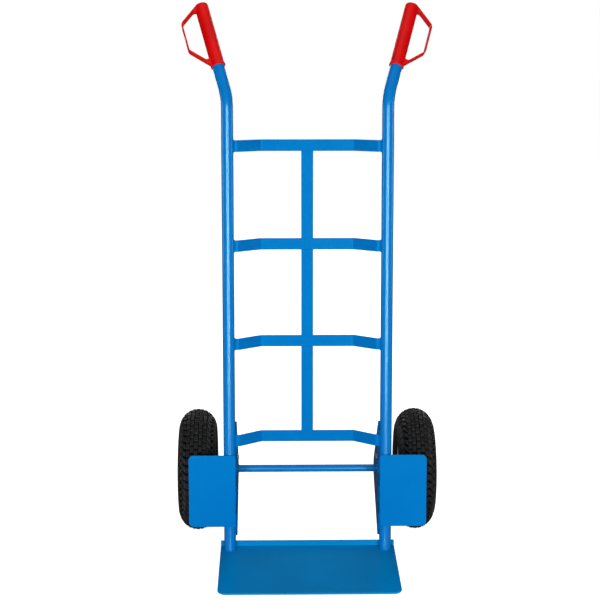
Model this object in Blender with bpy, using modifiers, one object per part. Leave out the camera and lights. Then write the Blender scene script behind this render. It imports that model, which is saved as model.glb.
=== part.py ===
"""Two-wheeled hand truck: leaning tube frame with bowed flat crossbars, bent toe plate,
axle brackets, wheel guards, D-shaped hand grips and two wheels with pneumatic tyres.

X runs across the truck, +Y points away from the load and +Z up. The origin lies on the
floor, midway between the feet of the rails. The frame's pieces are laid out upright and
hang from an empty that leans them back, so their own Z runs along the rails.
"""

import math

import bmesh
import bpy
from mathutils import Matrix, Vector

# Clearance between pieces that touch
FIT_GAP = 0.0003

# Frame
FRAME_LEAN = math.radians(6.6)
TUBE_RADIUS = 0.0125
TUBE_WALL = 0.0015
RAIL_SPACING = 0.3286
HANDLE_BEND_HEIGHT = 0.955
HANDLE_BEND_RADIUS = 0.085
HANDLE_LENGTH = 0.213
HANDLE_BACK = math.radians(26.0)
HANDLE_SPLAY = math.radians(14.8)

# Crossbars and the bars between them
CROSSBAR_COUNT = 4
CROSSBAR_FIRST = 0.2389
CROSSBAR_BELOW_BEND = 0.0996
CROSSBAR_HEIGHT = 0.024
BAR_THICKNESS = 0.004
CROSSBAR_BOW = 0.046
CROSSBAR_STRAIGHT_SHARE = 0.6456
CROSSBAR_RETURN = 0.008
CENTRE_BAR_WIDTH = 0.025

# Toe plate
PLATE_OVERHANG = 0.0079
PLATE_REACH = 0.212
PLATE_THICKNESS = 0.004
PLATE_CORNER_RADIUS = 0.019
PLATE_BEND_RADIUS = 0.005
UPSTAND_HEIGHT = 0.013

# Axle brackets
BRACKET_THICKNESS = 0.004
BRACKET_BAR_GAP = 0.0015
BRACKET_ABOVE_CROSSBAR = 0.0331
BRACKET_ABOVE_UPSTAND = 0.024
BRACKET_TIP_RADIUS = 0.006
BRACKET_NOSE_RADIUS = 0.028
BRACKET_SCREW_RISE = 0.044
BRACKET_SCREW_SETBACK = 0.055

# Wheel guards
GUARD_WIDTH = 0.098
GUARD_BOTTOM = 0.057
GUARD_TOP = 0.211
GUARD_THICKNESS = 0.003
GUARD_CORNER_RADIUS = 0.010
GUARD_INNER_RADIUS = 0.002
GUARD_TYRE_GAP = 0.0074

# Axle and what holds the wheels on it
AXLE_RADIUS = 0.008
SPACER_WALL = 0.003
WASHER_RADIUS = 0.015
WASHER_THICKNESS = 0.002
COTTER_WIRE_RADIUS = 0.0007
COTTER_LEG_OFFSET = 0.0009
COTTER_LEG_REACH = 0.0025
COTTER_SPREAD = 0.0022
COTTER_EYE_RADIUS = 0.003
COTTER_HOLE_RADIUS = 0.0019
COTTER_INSET = 0.0035

# Tyres and inner tubes
TYRE_RADIUS = 0.1313
TYRE_WIDTH = 0.0808
TYRE_RAIL_GAP = 0.0190
TYRE_SECTION_SHARE = 0.522
TYRE_SECTION_REACH = math.radians(135.0)
TYRE_WALL = 0.006
BEAD_LIFT = 0.0022
BEAD_INSET = 0.004
BEAD_WIDTH = 0.006
TUBE_SLACK = 0.0024
INNER_TUBE_WALL = 0.0025

# Rims, hubs and bearings
RIM_SHEET = 0.0018
RIM_SEAT_RADIUS = 0.0515
RIM_FLANGE_HEIGHT = 0.0085
RIM_WIDTH_SHARE = 0.3837
RIM_DISC_OFFSET = 0.0012
RIM_DISH_RADIUS = 0.0075
RIM_LIP_RADIUS = 0.003
HUB_RADIUS = 0.0205
HUB_LENGTH = 0.070
HUB_BORE_RADIUS = 0.0145
BEARING_RADIUS = 0.0175
BEARING_WIDTH = 0.0105

# Rim bolts, which also give the size of the bracket screws, and valves
RIM_BOLT_COUNT = 4
RIM_BOLT_CIRCLE = 0.0330
RIM_BOLT_RADIUS = 0.003
RIM_BOLT_HEAD_RADIUS = 0.0062
RIM_BOLT_HEAD_HEIGHT = 0.0036
RIM_BOLT_LENGTH = 0.013
BRACKET_SCREW_LENGTH = 0.007
NUT_CORNER_RADIUS = 0.0058
NUT_HEIGHT = 0.005
VALVE_RADIUS = 0.0038
VALVE_HOLE_RADIUS = 0.0045
VALVE_BEAD_GAP = 0.0027
VALVE_DISTANCE = 0.0421
VALVE_PAST_FLANGE = 0.005

# Hand grips; a loop's places are shares of the grip's length, from its cap down
GRIP_WALL = 0.0014
GRIP_SHARE = 0.69
GRIP_CAP_HEIGHT = 0.004
GRIP_CAP_RADIUS = 0.005
GRIP_CROWN = 0.001
GRIP_LIP_LENGTH = 0.004
GRIP_LIP_HEIGHT = 0.0012
LOOP_REACH = 0.0510
LOOP_THICKNESS = 0.0032
LOOP_WIDTH = 0.0160
LOOP_TOP_ROOT = 0.041
LOOP_TOP_CORNER = 0.245
LOOP_LOW_CORNER = 0.673
LOOP_LOW_ROOT = 0.946
LOOP_CORNER_RADIUS = 0.012
GRIP_TURN = {"left_grip": 0.0, "right_grip": math.radians(9.0)}

# Facets round each kind of turned piece, and steps round each kind of bend
TUBE_SIDES = 16
ROUND_STEPS = 16
RIM_STEPS = 24
TYRE_STEPS = 28
SMALL_STEPS = 8
NUT_SIDES = 6
WIRE_SIDES = 6
TYRE_OUTER_STEPS = 10
TYRE_INNER_STEPS = 8
INNER_TUBE_STEPS = 12
ARC_STEPS = 6
BEND_STEPS = 4
DOME_STEPS = 3
RIM_BEND_STEPS = 2

# Helper blocks and drills, longer than what they cut
TRIM_BLOCK = 0.05
DRILL_LENGTH = 0.032

SIDES = {"left": -1, "right": 1}
SMOOTH_ANGLE = math.radians(35.0)

# Positions that follow from the sizes above
RAIL_X = RAIL_SPACING / 2
INNER_TANGENT = RAIL_X - TUBE_RADIUS
PLATE_WIDTH = RAIL_SPACING + 2 * (TUBE_RADIUS + PLATE_OVERHANG)
CROSSBAR_TOP = HANDLE_BEND_HEIGHT - CROSSBAR_BELOW_BEND
CROSSBAR_PITCH = (CROSSBAR_TOP - CROSSBAR_FIRST) / (CROSSBAR_COUNT - 1)
CROSSBAR_STRAIGHT = 2 * INNER_TANGENT * CROSSBAR_STRAIGHT_SHARE
# The rails stand on the flat of the toe plate, just clear of its inner bend
UPSTAND_BEHIND = TUBE_RADIUS + FIT_GAP + PLATE_BEND_RADIUS
BRACKET_TOP = CROSSBAR_FIRST + BRACKET_ABOVE_CROSSBAR
BRACKET_BOTTOM = UPSTAND_HEIGHT + BRACKET_ABOVE_UPSTAND
BRACKET_FRONT = BAR_THICKNESS + BRACKET_BAR_GAP
BRACKET_OUTER_X = RAIL_X - math.sqrt((TUBE_RADIUS + FIT_GAP) ** 2 - BRACKET_FRONT**2)
# The tyres stand on the floor, clear of the rails beside them and of the guards ahead
AXLE_HEIGHT = TYRE_RADIUS
WHEEL_CENTRE_X = RAIL_X + TUBE_RADIUS + TYRE_RAIL_GAP + TYRE_WIDTH / 2
AXLE_BEHIND = TYRE_RADIUS + GUARD_TYRE_GAP - TUBE_RADIUS - FIT_GAP
AXLE_SETBACK = (AXLE_BEHIND + AXLE_HEIGHT * math.sin(FRAME_LEAN)) / math.cos(FRAME_LEAN)
AXLE_ALONG = AXLE_SETBACK * math.sin(FRAME_LEAN) + AXLE_HEIGHT * math.cos(FRAME_LEAN)
WASHER_X = WHEEL_CENTRE_X + HUB_LENGTH / 2 + FIT_GAP
COTTER_X = WASHER_X + WASHER_THICKNESS + 2 * FIT_GAP + COTTER_EYE_RADIUS + COTTER_WIRE_RADIUS
AXLE_END_X = COTTER_X + COTTER_INSET
# A tyre's section is an oval that overlaps the rim's seat a little
BEAD_RADIUS = RIM_SEAT_RADIUS + BEAD_LIFT
RIM_FLANGE_RADIUS = RIM_SEAT_RADIUS + RIM_FLANGE_HEIGHT
RIM_FLANGE_OFFSET = TYRE_WIDTH * RIM_WIDTH_SHARE
BEAD_HALF_SPAN = RIM_FLANGE_OFFSET - BEAD_INSET
VALVE_OFFSET = BEAD_HALF_SPAN - BEAD_WIDTH - VALVE_RADIUS - VALVE_BEAD_GAP
VALVE_REACH = RIM_FLANGE_OFFSET + VALVE_PAST_FLANGE
SECTION_RADIUS = (TYRE_RADIUS - BEAD_RADIUS) * TYRE_SECTION_SHARE
SECTION_CENTRE = TYRE_RADIUS - SECTION_RADIUS
TUBE_INSET = TYRE_WALL + TUBE_SLACK
TUBE_BOTTOM = SECTION_CENTRE - SECTION_RADIUS + TUBE_INSET
GRIP_LENGTH = HANDLE_LENGTH * GRIP_SHARE


# ---------------------------------------------------------------- scene and materials


def clear_scene():
    for obj in list(bpy.data.objects):
        bpy.data.objects.remove(obj, do_unlink=True)


def new_collection(name):
    collection = bpy.data.collections.new(name)
    bpy.context.scene.collection.children.link(collection)
    return collection


def new_material(name, color, roughness, metallic=0.0):
    material = bpy.data.materials.new(name)
    material.use_nodes = True
    shader = material.node_tree.nodes["Principled BSDF"]
    shader.inputs["Base Color"].default_value = (*color, 1.0)
    shader.inputs["Roughness"].default_value = roughness
    shader.inputs["Metallic"].default_value = metallic
    return material


clear_scene()
PARTS = new_collection("hand_truck")
CUTTERS = new_collection("hand_truck_cutters")

FRAME_BLUE = new_material("frame_blue", (0.0, 0.21, 0.60), 0.35)
GRIP_RED = new_material("grip_red", (0.60, 0.004, 0.004), 0.45)
TYRE_BLACK = new_material("tyre_black", (0.02, 0.02, 0.02), 0.80)
TUBE_BLACK = new_material("tube_black", (0.03, 0.03, 0.03), 0.55)
RIM_GREY = new_material("rim_grey", (0.55, 0.56, 0.58), 0.40, 0.3)
ZINC = new_material("zinc", (0.60, 0.61, 0.62), 0.35, 0.9)
STEEL = new_material("steel", (0.45, 0.46, 0.48), 0.30, 1.0)


def new_empty(name, location=(0, 0, 0), rotation=(0, 0, 0), parent=None):
    empty = bpy.data.objects.new(name, None)
    empty.location = location
    empty.rotation_euler = rotation
    empty.parent = parent
    PARTS.objects.link(empty)
    return empty


FRAME = new_empty("frame_tilt", rotation=(-FRAME_LEAN, 0, 0))


def place(obj, material, parent=None, location=(0, 0, 0), rotation=(0, 0, 0)):
    """Puts a finished piece among the parts, in its parent's coordinates."""
    PARTS.objects.link(obj)
    obj.data.materials.append(material)
    obj.parent = parent
    obj.location = location
    obj.rotation_euler = rotation
    obj.data.shade_smooth()
    obj.data.set_sharp_from_angle(angle=SMOOTH_ANGLE)
    return obj


def add_cutter(obj, parent=None, location=(0, 0, 0), rotation=(0, 0, 0)):
    CUTTERS.objects.link(obj)
    obj.parent = parent
    obj.location = location
    obj.rotation_euler = rotation
    obj.hide_render = True
    obj.display_type = "WIRE"
    return obj


def combine(obj, other, operation):
    modifier = obj.modifiers.new(operation.lower(), "BOOLEAN")
    modifier.operation = operation
    modifier.object = other
    return modifier


# ---------------------------------------------------------------- shapes


def arc_between(before, corner, after, radius, steps=ARC_STEPS):
    """Points of the arc that rounds a corner between two straight runs."""
    before, corner, after = Vector(before), Vector(corner), Vector(after)
    back, ahead = (before - corner).normalized(), (after - corner).normalized()
    half = back.angle(ahead) / 2
    centre = corner + (back + ahead).normalized() * (radius / math.sin(half))
    first = corner + back * (radius / math.tan(half)) - centre
    last = corner + ahead * (radius / math.tan(half)) - centre
    sweep = first.angle(last)
    points = []
    for i in range(steps + 1):
        share = i / steps
        weight = math.sin((1 - share) * sweep), math.sin(share * sweep)
        points.append(centre + (first * weight[0] + last * weight[1]) / math.sin(sweep))
    return points


def rounded(points, radii, steps=ARC_STEPS):
    """A closed outline whose corners are rounded; a radius of 0 keeps the corner."""
    outline = []
    for i, radius in enumerate(radii):
        if radius:
            outline += arc_between(points[i - 1], points[i], points[(i + 1) % len(points)], radius, steps)
        else:
            outline.append(Vector(points[i]))
    return outline


def thick_line(points, thickness):
    """The closed outline of a strip with this thickness along an open line in its plane."""
    points = [Vector((p[0], p[1])) for p in points]
    runs = [(b - a).normalized() for a, b in zip(points, points[1:])]
    sides = []
    for i, point in enumerate(points):
        before, after = runs[max(i - 1, 0)], runs[min(i, len(runs) - 1)]
        across = (before + after).normalized().orthogonal()
        stretch = thickness / 2 / across.dot(after.orthogonal())
        sides.append((point + across * stretch, point - across * stretch))
    return [left for left, _ in sides] + [right for _, right in reversed(sides)]


def oval(centre, half_width, half_height, steps):
    turn = 2 * math.pi / steps
    x, y = centre
    return [
        (x + half_width * math.cos(i * turn), y + half_height * math.sin(i * turn))
        for i in range(steps)
    ]


def circle(centre, radius, steps):
    return oval(centre, radius, radius, steps)


def mesh_from_curve(curve_object):
    """The curve's mesh as an object of its own, with its caps welded on."""
    CUTTERS.objects.link(curve_object)
    graph = bpy.context.evaluated_depsgraph_get()
    mesh = bpy.data.meshes.new_from_object(curve_object.evaluated_get(graph))
    name = curve_object.name
    curve = curve_object.data
    bpy.data.objects.remove(curve_object, do_unlink=True)
    bpy.data.curves.remove(curve)
    bm = bmesh.new()
    bm.from_mesh(mesh)
    bmesh.ops.remove_doubles(bm, verts=bm.verts, dist=1e-6)
    bm.to_mesh(mesh)
    bm.free()
    return bpy.data.objects.new(name, mesh)


def extruded(name, outlines, thickness):
    """A flat piece in its own XY plane: the first outline with the others as holes."""
    curve = bpy.data.curves.new(name, "CURVE")
    curve.dimensions = "2D"
    curve.fill_mode = "BOTH"
    curve.extrude = thickness / 2
    for outline in outlines:
        spline = curve.splines.new("POLY")
        spline.points.add(len(outline) - 1)
        for point, place_at in zip(spline.points, outline):
            point.co = (place_at[0], place_at[1], 0, 1)
        spline.use_cyclic_u = True
    return mesh_from_curve(bpy.data.objects.new(name, curve))


def swept(name, points, radius, sides, capped=True):
    """A round bar along a line of points; uncapped it is an open skin."""
    curve = bpy.data.curves.new(name, "CURVE")
    curve.dimensions = "3D"
    curve.bevel_depth = radius
    curve.bevel_resolution = (sides - 4) // 2
    curve.use_fill_caps = capped
    spline = curve.splines.new("POLY")
    spline.points.add(len(points) - 1)
    for point, place_at in zip(spline.points, points):
        point.co = (*place_at, 1)
    return mesh_from_curve(bpy.data.objects.new(name, curve))


def turned(name, profile, steps):
    """A closed profile of (radius, height) turned about the object's own Z."""
    doubled_area = sum(
        a[0] * b[1] - b[0] * a[1] for a, b in zip(profile, profile[1:] + profile[:1])
    )
    if doubled_area > 0:
        profile = profile[::-1]
    mesh = bpy.data.meshes.new(name)
    bm = bmesh.new()
    verts = [bm.verts.new((radius, 0, height)) for radius, height in profile]
    for a, b in zip(verts, verts[1:] + verts[:1]):
        if a.co.x > 0 or b.co.x > 0:
            bm.edges.new((a, b))
    bm.to_mesh(mesh)
    bm.free()
    obj = bpy.data.objects.new(name, mesh)
    screw = obj.modifiers.new("turn", "SCREW")
    screw.steps = steps
    screw.render_steps = steps
    screw.use_merge_vertices = True
    screw.merge_threshold = 0.00001
    return obj


def ring(name, inner, outer, low, high, steps):
    return turned(name, [(inner, low), (outer, low), (outer, high), (inner, high)], steps)


def cylinder(name, radius, length, sides):
    mesh = bpy.data.meshes.new(name)
    bm = bmesh.new()
    bmesh.ops.create_cone(
        bm, cap_ends=True, segments=sides, radius1=radius, radius2=radius, depth=length
    )
    bm.to_mesh(mesh)
    bm.free()
    return bpy.data.objects.new(name, mesh)


def box(name, size):
    mesh = bpy.data.meshes.new(name)
    bm = bmesh.new()
    bmesh.ops.create_cube(bm, size=1)
    bmesh.ops.scale(bm, verts=bm.verts, vec=size)
    bm.to_mesh(mesh)
    bm.free()
    return bpy.data.objects.new(name, mesh)


# Turns a flat piece so that its own XY lies across the truck (X, up) or along it (back, up)
FACING_FRONT = (math.pi / 2, 0, 0)
FACING_SIDE = (math.pi / 2, 0, math.pi / 2)


# ---------------------------------------------------------------- frame


def handle_direction(side):
    """Unit vector up the handle, in the frame's own upright coordinates."""
    level = math.cos(HANDLE_SPLAY)
    return Vector(
        (
            side * math.sin(HANDLE_SPLAY),
            level * math.sin(HANDLE_BACK),
            level * math.cos(HANDLE_BACK),
        )
    )


def handle_corner(side):
    """Where the centre lines of a rail and its handle cross."""
    return Vector((side * RAIL_X, 0, HANDLE_BEND_HEIGHT))


def make_foot_cutter():
    """A block up to the toe plate's top that trims the rails level with the floor."""
    cutter = box("foot_cutter", (RAIL_SPACING + 2 * TRIM_BLOCK, 2 * TRIM_BLOCK, TRIM_BLOCK))
    top = PLATE_THICKNESS + FIT_GAP
    return add_cutter(cutter, location=(0, 0, top - TRIM_BLOCK / 2))


def make_rail(side_name, side, foot_cutter):
    foot = Vector((side * RAIL_X, 0, -TUBE_RADIUS))
    corner = handle_corner(side)
    end = corner + handle_direction(side) * HANDLE_LENGTH
    line = [foot, *arc_between(foot, corner, end, HANDLE_BEND_RADIUS), end]
    rail = swept(side_name + "_rail", line, TUBE_RADIUS, TUBE_SIDES, capped=False)
    wall = rail.modifiers.new("wall", "SOLIDIFY")
    wall.thickness = TUBE_WALL
    wall.offset = -1
    combine(rail, foot_cutter, "DIFFERENCE")
    place(rail, FRAME_BLUE, FRAME)


def crossbar_line():
    """A crossbar's centre line seen from above: the middle is bowed back from the rails."""
    end_x = INNER_TANGENT - FIT_GAP
    half = [
        (CROSSBAR_STRAIGHT / 2, CROSSBAR_BOW),
        (end_x - CROSSBAR_RETURN, BAR_THICKNESS / 2),
        (end_x, BAR_THICKNESS / 2),
    ]
    return [(-x, y) for x, y in reversed(half)] + half


def make_crossbars():
    outline = thick_line(crossbar_line(), BAR_THICKNESS)
    for i in range(CROSSBAR_COUNT):
        bar = extruded(f"crossbar_{i + 1}", [outline], CROSSBAR_HEIGHT)
        place(bar, FRAME_BLUE, FRAME, (0, 0, CROSSBAR_FIRST + i * CROSSBAR_PITCH))


def make_centre_bars():
    length = CROSSBAR_PITCH - CROSSBAR_HEIGHT - 2 * FIT_GAP
    for i in range(CROSSBAR_COUNT - 1):
        bar = box(f"centre_bar_{i + 1}", (CENTRE_BAR_WIDTH, BAR_THICKNESS, length))
        middle = CROSSBAR_FIRST + (i + 0.5) * CROSSBAR_PITCH
        place(bar, FRAME_BLUE, FRAME, (0, CROSSBAR_BOW, middle))


def make_toe_plate():
    """Floor sheet with rounded front corners, bent up behind the rails at their lean."""
    half = PLATE_THICKNESS / 2
    lean = Vector((math.sin(FRAME_LEAN), math.cos(FRAME_LEAN)))
    behind = Vector((lean.y, -lean.x)) * UPSTAND_BEHIND
    corner = behind + lean * ((half - behind.y) / lean.y)
    front = Vector((-PLATE_REACH, half))
    top = corner + lean * UPSTAND_HEIGHT
    line = [front, *arc_between(front, corner, top, PLATE_BEND_RADIUS, BEND_STEPS), top]
    plate = extruded("toe_plate", [thick_line(line, PLATE_THICKNESS)], PLATE_WIDTH)

    side, back = PLATE_WIDTH / 2 + FIT_GAP, top.x + PLATE_THICKNESS
    corners = [(-side, -PLATE_REACH), (side, -PLATE_REACH), (side, back), (-side, back)]
    radii = [PLATE_CORNER_RADIUS, PLATE_CORNER_RADIUS, 0, 0]
    trimmer = extruded("toe_plate_trimmer", [rounded(corners, radii)], 2 * TRIM_BLOCK)
    combine(plate, add_cutter(trimmer), "INTERSECT")
    place(plate, FRAME_BLUE, rotation=FACING_SIDE)


def bracket_outline():
    """Convex outline round three discs, as (back, up): top tip, bottom tip, axle nose."""
    discs = [
        (BRACKET_FRONT + BRACKET_TIP_RADIUS, BRACKET_BOTTOM, BRACKET_TIP_RADIUS),
        (AXLE_BEHIND, AXLE_ALONG, BRACKET_NOSE_RADIUS),
        (BRACKET_FRONT + BRACKET_TIP_RADIUS, BRACKET_TOP, BRACKET_TIP_RADIUS),
    ]
    outline = []
    for i, (x, y, radius) in enumerate(discs):
        angles = []
        for before, after in ((discs[i - 1], discs[i]), (discs[i], discs[(i + 1) % 3])):
            run = Vector((after[0] - before[0], after[1] - before[1]))
            tilt = math.asin((before[2] - after[2]) / run.length)
            angles.append(math.atan2(run.y, run.x) - math.pi / 2 + tilt)
        sweep = (angles[1] - angles[0]) % (2 * math.pi)
        for j in range(ARC_STEPS + 1):
            angle = angles[0] + sweep * j / ARC_STEPS
            outline.append((x + radius * math.cos(angle), y + radius * math.sin(angle)))
    return outline


def screw_place():
    """(back, up) of the small screw in each axle bracket."""
    return (BRACKET_SCREW_SETBACK, AXLE_ALONG + BRACKET_SCREW_RISE)


def make_bracket(side_name, side):
    holes = [
        circle((AXLE_BEHIND, AXLE_ALONG), AXLE_RADIUS + FIT_GAP, ROUND_STEPS),
        circle(screw_place(), RIM_BOLT_RADIUS + FIT_GAP, SMALL_STEPS),
    ]
    name = side_name + "_axle_bracket"
    bracket = extruded(name, [bracket_outline(), *holes], BRACKET_THICKNESS)
    middle = side * (BRACKET_OUTER_X - BRACKET_THICKNESS / 2)
    place(bracket, FRAME_BLUE, FRAME, (middle, 0, 0), FACING_SIDE)


def make_bracket_screw(side_name, side):
    screw = dome_bolt(side_name + "_bracket_screw", BRACKET_SCREW_LENGTH)
    back, up = screw_place()
    inner_x = side * (BRACKET_OUTER_X - BRACKET_THICKNESS - FIT_GAP)
    place(screw, ZINC, FRAME, (inner_x, back, up), (0, -side * math.pi / 2, 0))


def make_guard(side_name, side):
    """Flat plate across the front of the rail, reaching outwards before the tyre."""
    inner, outer = side * INNER_TANGENT, side * (INNER_TANGENT + GUARD_WIDTH)
    low, high = GUARD_BOTTOM, GUARD_TOP
    corners = [(inner, low), (outer, low), (outer, high), (inner, high)]
    radii = [GUARD_INNER_RADIUS, GUARD_CORNER_RADIUS, GUARD_CORNER_RADIUS, GUARD_INNER_RADIUS]
    outline = rounded(corners, radii, BEND_STEPS)
    guard = extruded(side_name + "_wheel_guard", [outline], GUARD_THICKNESS)
    ahead = -(TUBE_RADIUS + FIT_GAP + GUARD_THICKNESS / 2)
    place(guard, FRAME_BLUE, FRAME, (0, ahead, 0), FACING_FRONT)


# ---------------------------------------------------------------- axle


def make_axle():
    axle = cylinder("axle", AXLE_RADIUS, 2 * AXLE_END_X, ROUND_STEPS)
    for side_name, side in SIDES.items():
        name = side_name + "_cotter_hole"
        drill = cylinder(name, COTTER_HOLE_RADIUS, DRILL_LENGTH, SMALL_STEPS)
        where = (side * COTTER_X, AXLE_SETBACK, AXLE_HEIGHT)
        combine(axle, add_cutter(drill, location=where), "DIFFERENCE")
    place(axle, FRAME_BLUE, None, (0, AXLE_SETBACK, AXLE_HEIGHT), (0, math.pi / 2, 0))


def make_spacer(side_name, side):
    """Sleeve on the axle from the bracket to the hub."""
    length = WHEEL_CENTRE_X - HUB_LENGTH / 2 - BRACKET_OUTER_X - 2 * FIT_GAP
    inner = AXLE_RADIUS + FIT_GAP
    name = side_name + "_axle_spacer"
    spacer = ring(name, inner, inner + SPACER_WALL, 0, length, ROUND_STEPS)
    where = (side * (BRACKET_OUTER_X + FIT_GAP), AXLE_SETBACK, AXLE_HEIGHT)
    place(spacer, ZINC, None, where, (0, side * math.pi / 2, 0))


def make_washer(side_name, side):
    name = side_name + "_axle_washer"
    washer = ring(name, AXLE_RADIUS + FIT_GAP, WASHER_RADIUS, 0, WASHER_THICKNESS, ROUND_STEPS)
    where = (side * WASHER_X, AXLE_SETBACK, AXLE_HEIGHT)
    place(washer, ZINC, None, where, (0, side * math.pi / 2, 0))


def make_cotter(side_name, side):
    """Split pin: one wire with two legs through the axle and an eye above it."""
    leg, low, bend = COTTER_LEG_OFFSET, -AXLE_RADIUS - COTTER_LEG_REACH, COTTER_SPREAD
    neck = AXLE_RADIUS + COTTER_WIRE_RADIUS + FIT_GAP
    eye_height = neck + COTTER_EYE_RADIUS
    opening = math.asin(leg / COTTER_EYE_RADIUS)
    eye = []
    for i in range(SMALL_STEPS + 1):
        angle = -math.pi / 2 - opening - (2 * math.pi - 2 * opening) * i / SMALL_STEPS
        across, up = COTTER_EYE_RADIUS * math.cos(angle), COTTER_EYE_RADIUS * math.sin(angle)
        eye.append((across, 0, eye_height + up))
    left_leg = [(-leg - bend, 0, low - bend), (-leg, 0, low)]
    right_leg = [(leg, 0, low), (leg + bend, 0, low - bend)]
    line = left_leg + eye + right_leg
    cotter = swept(side_name + "_cotter_pin", line, COTTER_WIRE_RADIUS, WIRE_SIDES)
    where = (side * COTTER_X, AXLE_SETBACK, AXLE_HEIGHT)
    place(cotter, ZINC, None, where)


# ---------------------------------------------------------------- wheels
# A wheel's pieces are turned about their own Z, which points out along the axle.


def dome_bolt(name, length):
    """A bolt with a domed head above its own XY plane and its shank below."""
    head, rise, shank = RIM_BOLT_HEAD_RADIUS, RIM_BOLT_HEAD_HEIGHT, RIM_BOLT_RADIUS
    angles = [math.pi / 2 * i / DOME_STEPS for i in range(1, DOME_STEPS)]
    dome = [(head * math.sin(angle), rise * math.cos(angle)) for angle in angles]
    profile = [(0, rise), *dome, (head, 0), (shank, 0), (shank, -length), (0, -length)]
    return turned(name, profile, SMALL_STEPS)


def tyre_section(inset, steps):
    """Half round section of the tyre at this distance inside its tread, bead to bead."""
    half_width, half_height = TYRE_WIDTH / 2 - inset, SECTION_RADIUS - inset
    points = []
    for i in range(steps + 1):
        angle = TYRE_SECTION_REACH * (1 - 2 * i / steps)
        out = SECTION_CENTRE + half_height * math.cos(angle)
        points.append((out, half_width * math.sin(angle)))
    return points


def make_tyre(prefix, hub_axis, rotation):
    outer = tyre_section(0, TYRE_OUTER_STEPS)
    inner = tyre_section(TYRE_WALL, TYRE_INNER_STEPS)[::-1]
    low_bead = [(BEAD_RADIUS, -BEAD_HALF_SPAN), (BEAD_RADIUS, BEAD_WIDTH - BEAD_HALF_SPAN)]
    high_bead = [(radius, -height) for radius, height in reversed(low_bead)]
    profile = outer + low_bead + inner + high_bead
    place(turned(prefix + "_tyre", profile, TYRE_STEPS), TYRE_BLACK, hub_axis, rotation=rotation)


def tube_ring(name, inset):
    """Solid ring of the tube's oval section at this distance inside the tyre's tread."""
    half_height, half_width = SECTION_RADIUS - inset, TYRE_WIDTH / 2 - inset
    section = oval((SECTION_CENTRE, 0), half_height, half_width, INNER_TUBE_STEPS)
    return turned(name, section, RIM_STEPS)


def make_inner_tube(prefix, hub_axis, rotation):
    """Hollow ring with the hole under its valve."""
    tube = tube_ring(prefix + "_inner_tube", TUBE_INSET)
    hollow = tube_ring(prefix + "_tube_hollow", TUBE_INSET + INNER_TUBE_WALL)
    drill = cylinder(prefix + "_tube_drill", VALVE_RADIUS / 2, DRILL_LENGTH, SMALL_STEPS)
    combine(tube, add_cutter(hollow, tube), "DIFFERENCE")
    bottom, drill_turn = (TUBE_BOTTOM, 0, 0), (0, math.pi / 2, 0)
    combine(tube, add_cutter(drill, tube, bottom, drill_turn), "DIFFERENCE")
    place(tube, TUBE_BLACK, hub_axis, rotation=rotation)


def rim_profile():
    """The pressed sheet of the outer rim half, from its disc to its flange."""
    start = Vector((HUB_RADIUS + FIT_GAP, RIM_DISC_OFFSET))
    dish = Vector((RIM_SEAT_RADIUS, RIM_DISC_OFFSET))
    lip = Vector((RIM_SEAT_RADIUS, RIM_FLANGE_OFFSET))
    end = Vector((RIM_FLANGE_RADIUS, RIM_FLANGE_OFFSET))
    dish_bend = arc_between(start, dish, lip, RIM_DISH_RADIUS, RIM_BEND_STEPS)
    lip_bend = arc_between(dish, lip, end, RIM_LIP_RADIUS, RIM_BEND_STEPS)
    outline = thick_line([start, *dish_bend, *lip_bend, end], RIM_SHEET)
    return [(point.x, point.y) for point in outline]


def bolt_angles():
    """Angles of the rim bolts, each in the middle of a facet of the rim."""
    first = math.pi / RIM_STEPS
    return [first + 2 * math.pi * i / RIM_BOLT_COUNT for i in range(RIM_BOLT_COUNT)]


def valve_angle():
    """The valve stands midway between two bolts."""
    return bolt_angles()[0] + math.pi / RIM_BOLT_COUNT


def make_rim_halves(prefix, hub_axis, rotation):
    for half_name, outward in (("outer", 1), ("inner", -1)):
        profile = [(radius, outward * height) for radius, height in rim_profile()]
        rim = turned(f"{prefix}_{half_name}_rim_half", profile, RIM_STEPS)
        for i, angle in enumerate(bolt_angles()):
            name = f"{prefix}_{half_name}_bolt_hole_{i + 1}"
            drill = cylinder(name, RIM_BOLT_RADIUS + FIT_GAP, DRILL_LENGTH, SMALL_STEPS)
            where = (RIM_BOLT_CIRCLE * math.cos(angle), RIM_BOLT_CIRCLE * math.sin(angle), 0)
            combine(rim, add_cutter(drill, rim, where), "DIFFERENCE")
        if outward > 0:
            name = prefix + "_valve_hole"
            drill = cylinder(name, VALVE_HOLE_RADIUS, DRILL_LENGTH, ROUND_STEPS)
            angle = valve_angle()
            where = Vector((math.cos(angle), math.sin(angle), 0)) * RIM_SEAT_RADIUS
            where.z = VALVE_OFFSET
            combine(rim, add_cutter(drill, rim, where, (0, math.pi / 2, angle)), "DIFFERENCE")
        place(rim, RIM_GREY, hub_axis, rotation=rotation)


def make_hub(prefix, hub_axis, rotation):
    half = HUB_LENGTH / 2
    seat = BEARING_RADIUS + FIT_GAP
    shoulder = half - BEARING_WIDTH - FIT_GAP
    profile = [
        (HUB_RADIUS, half),
        (HUB_RADIUS, -half),
        (seat, -half),
        (seat, -shoulder),
        (HUB_BORE_RADIUS, -shoulder),
        (HUB_BORE_RADIUS, shoulder),
        (seat, shoulder),
        (seat, half),
    ]
    place(turned(prefix + "_hub", profile, RIM_STEPS), RIM_GREY, hub_axis, rotation=rotation)


def make_bearings(prefix, hub_axis, rotation):
    for end_name, outward in (("outer", 1), ("inner", -1)):
        far = outward * HUB_LENGTH / 2
        near = far - outward * BEARING_WIDTH
        name = f"{prefix}_{end_name}_bearing"
        bearing = ring(name, AXLE_RADIUS + FIT_GAP, BEARING_RADIUS, near, far, ROUND_STEPS)
        place(bearing, STEEL, hub_axis, rotation=rotation)


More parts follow.
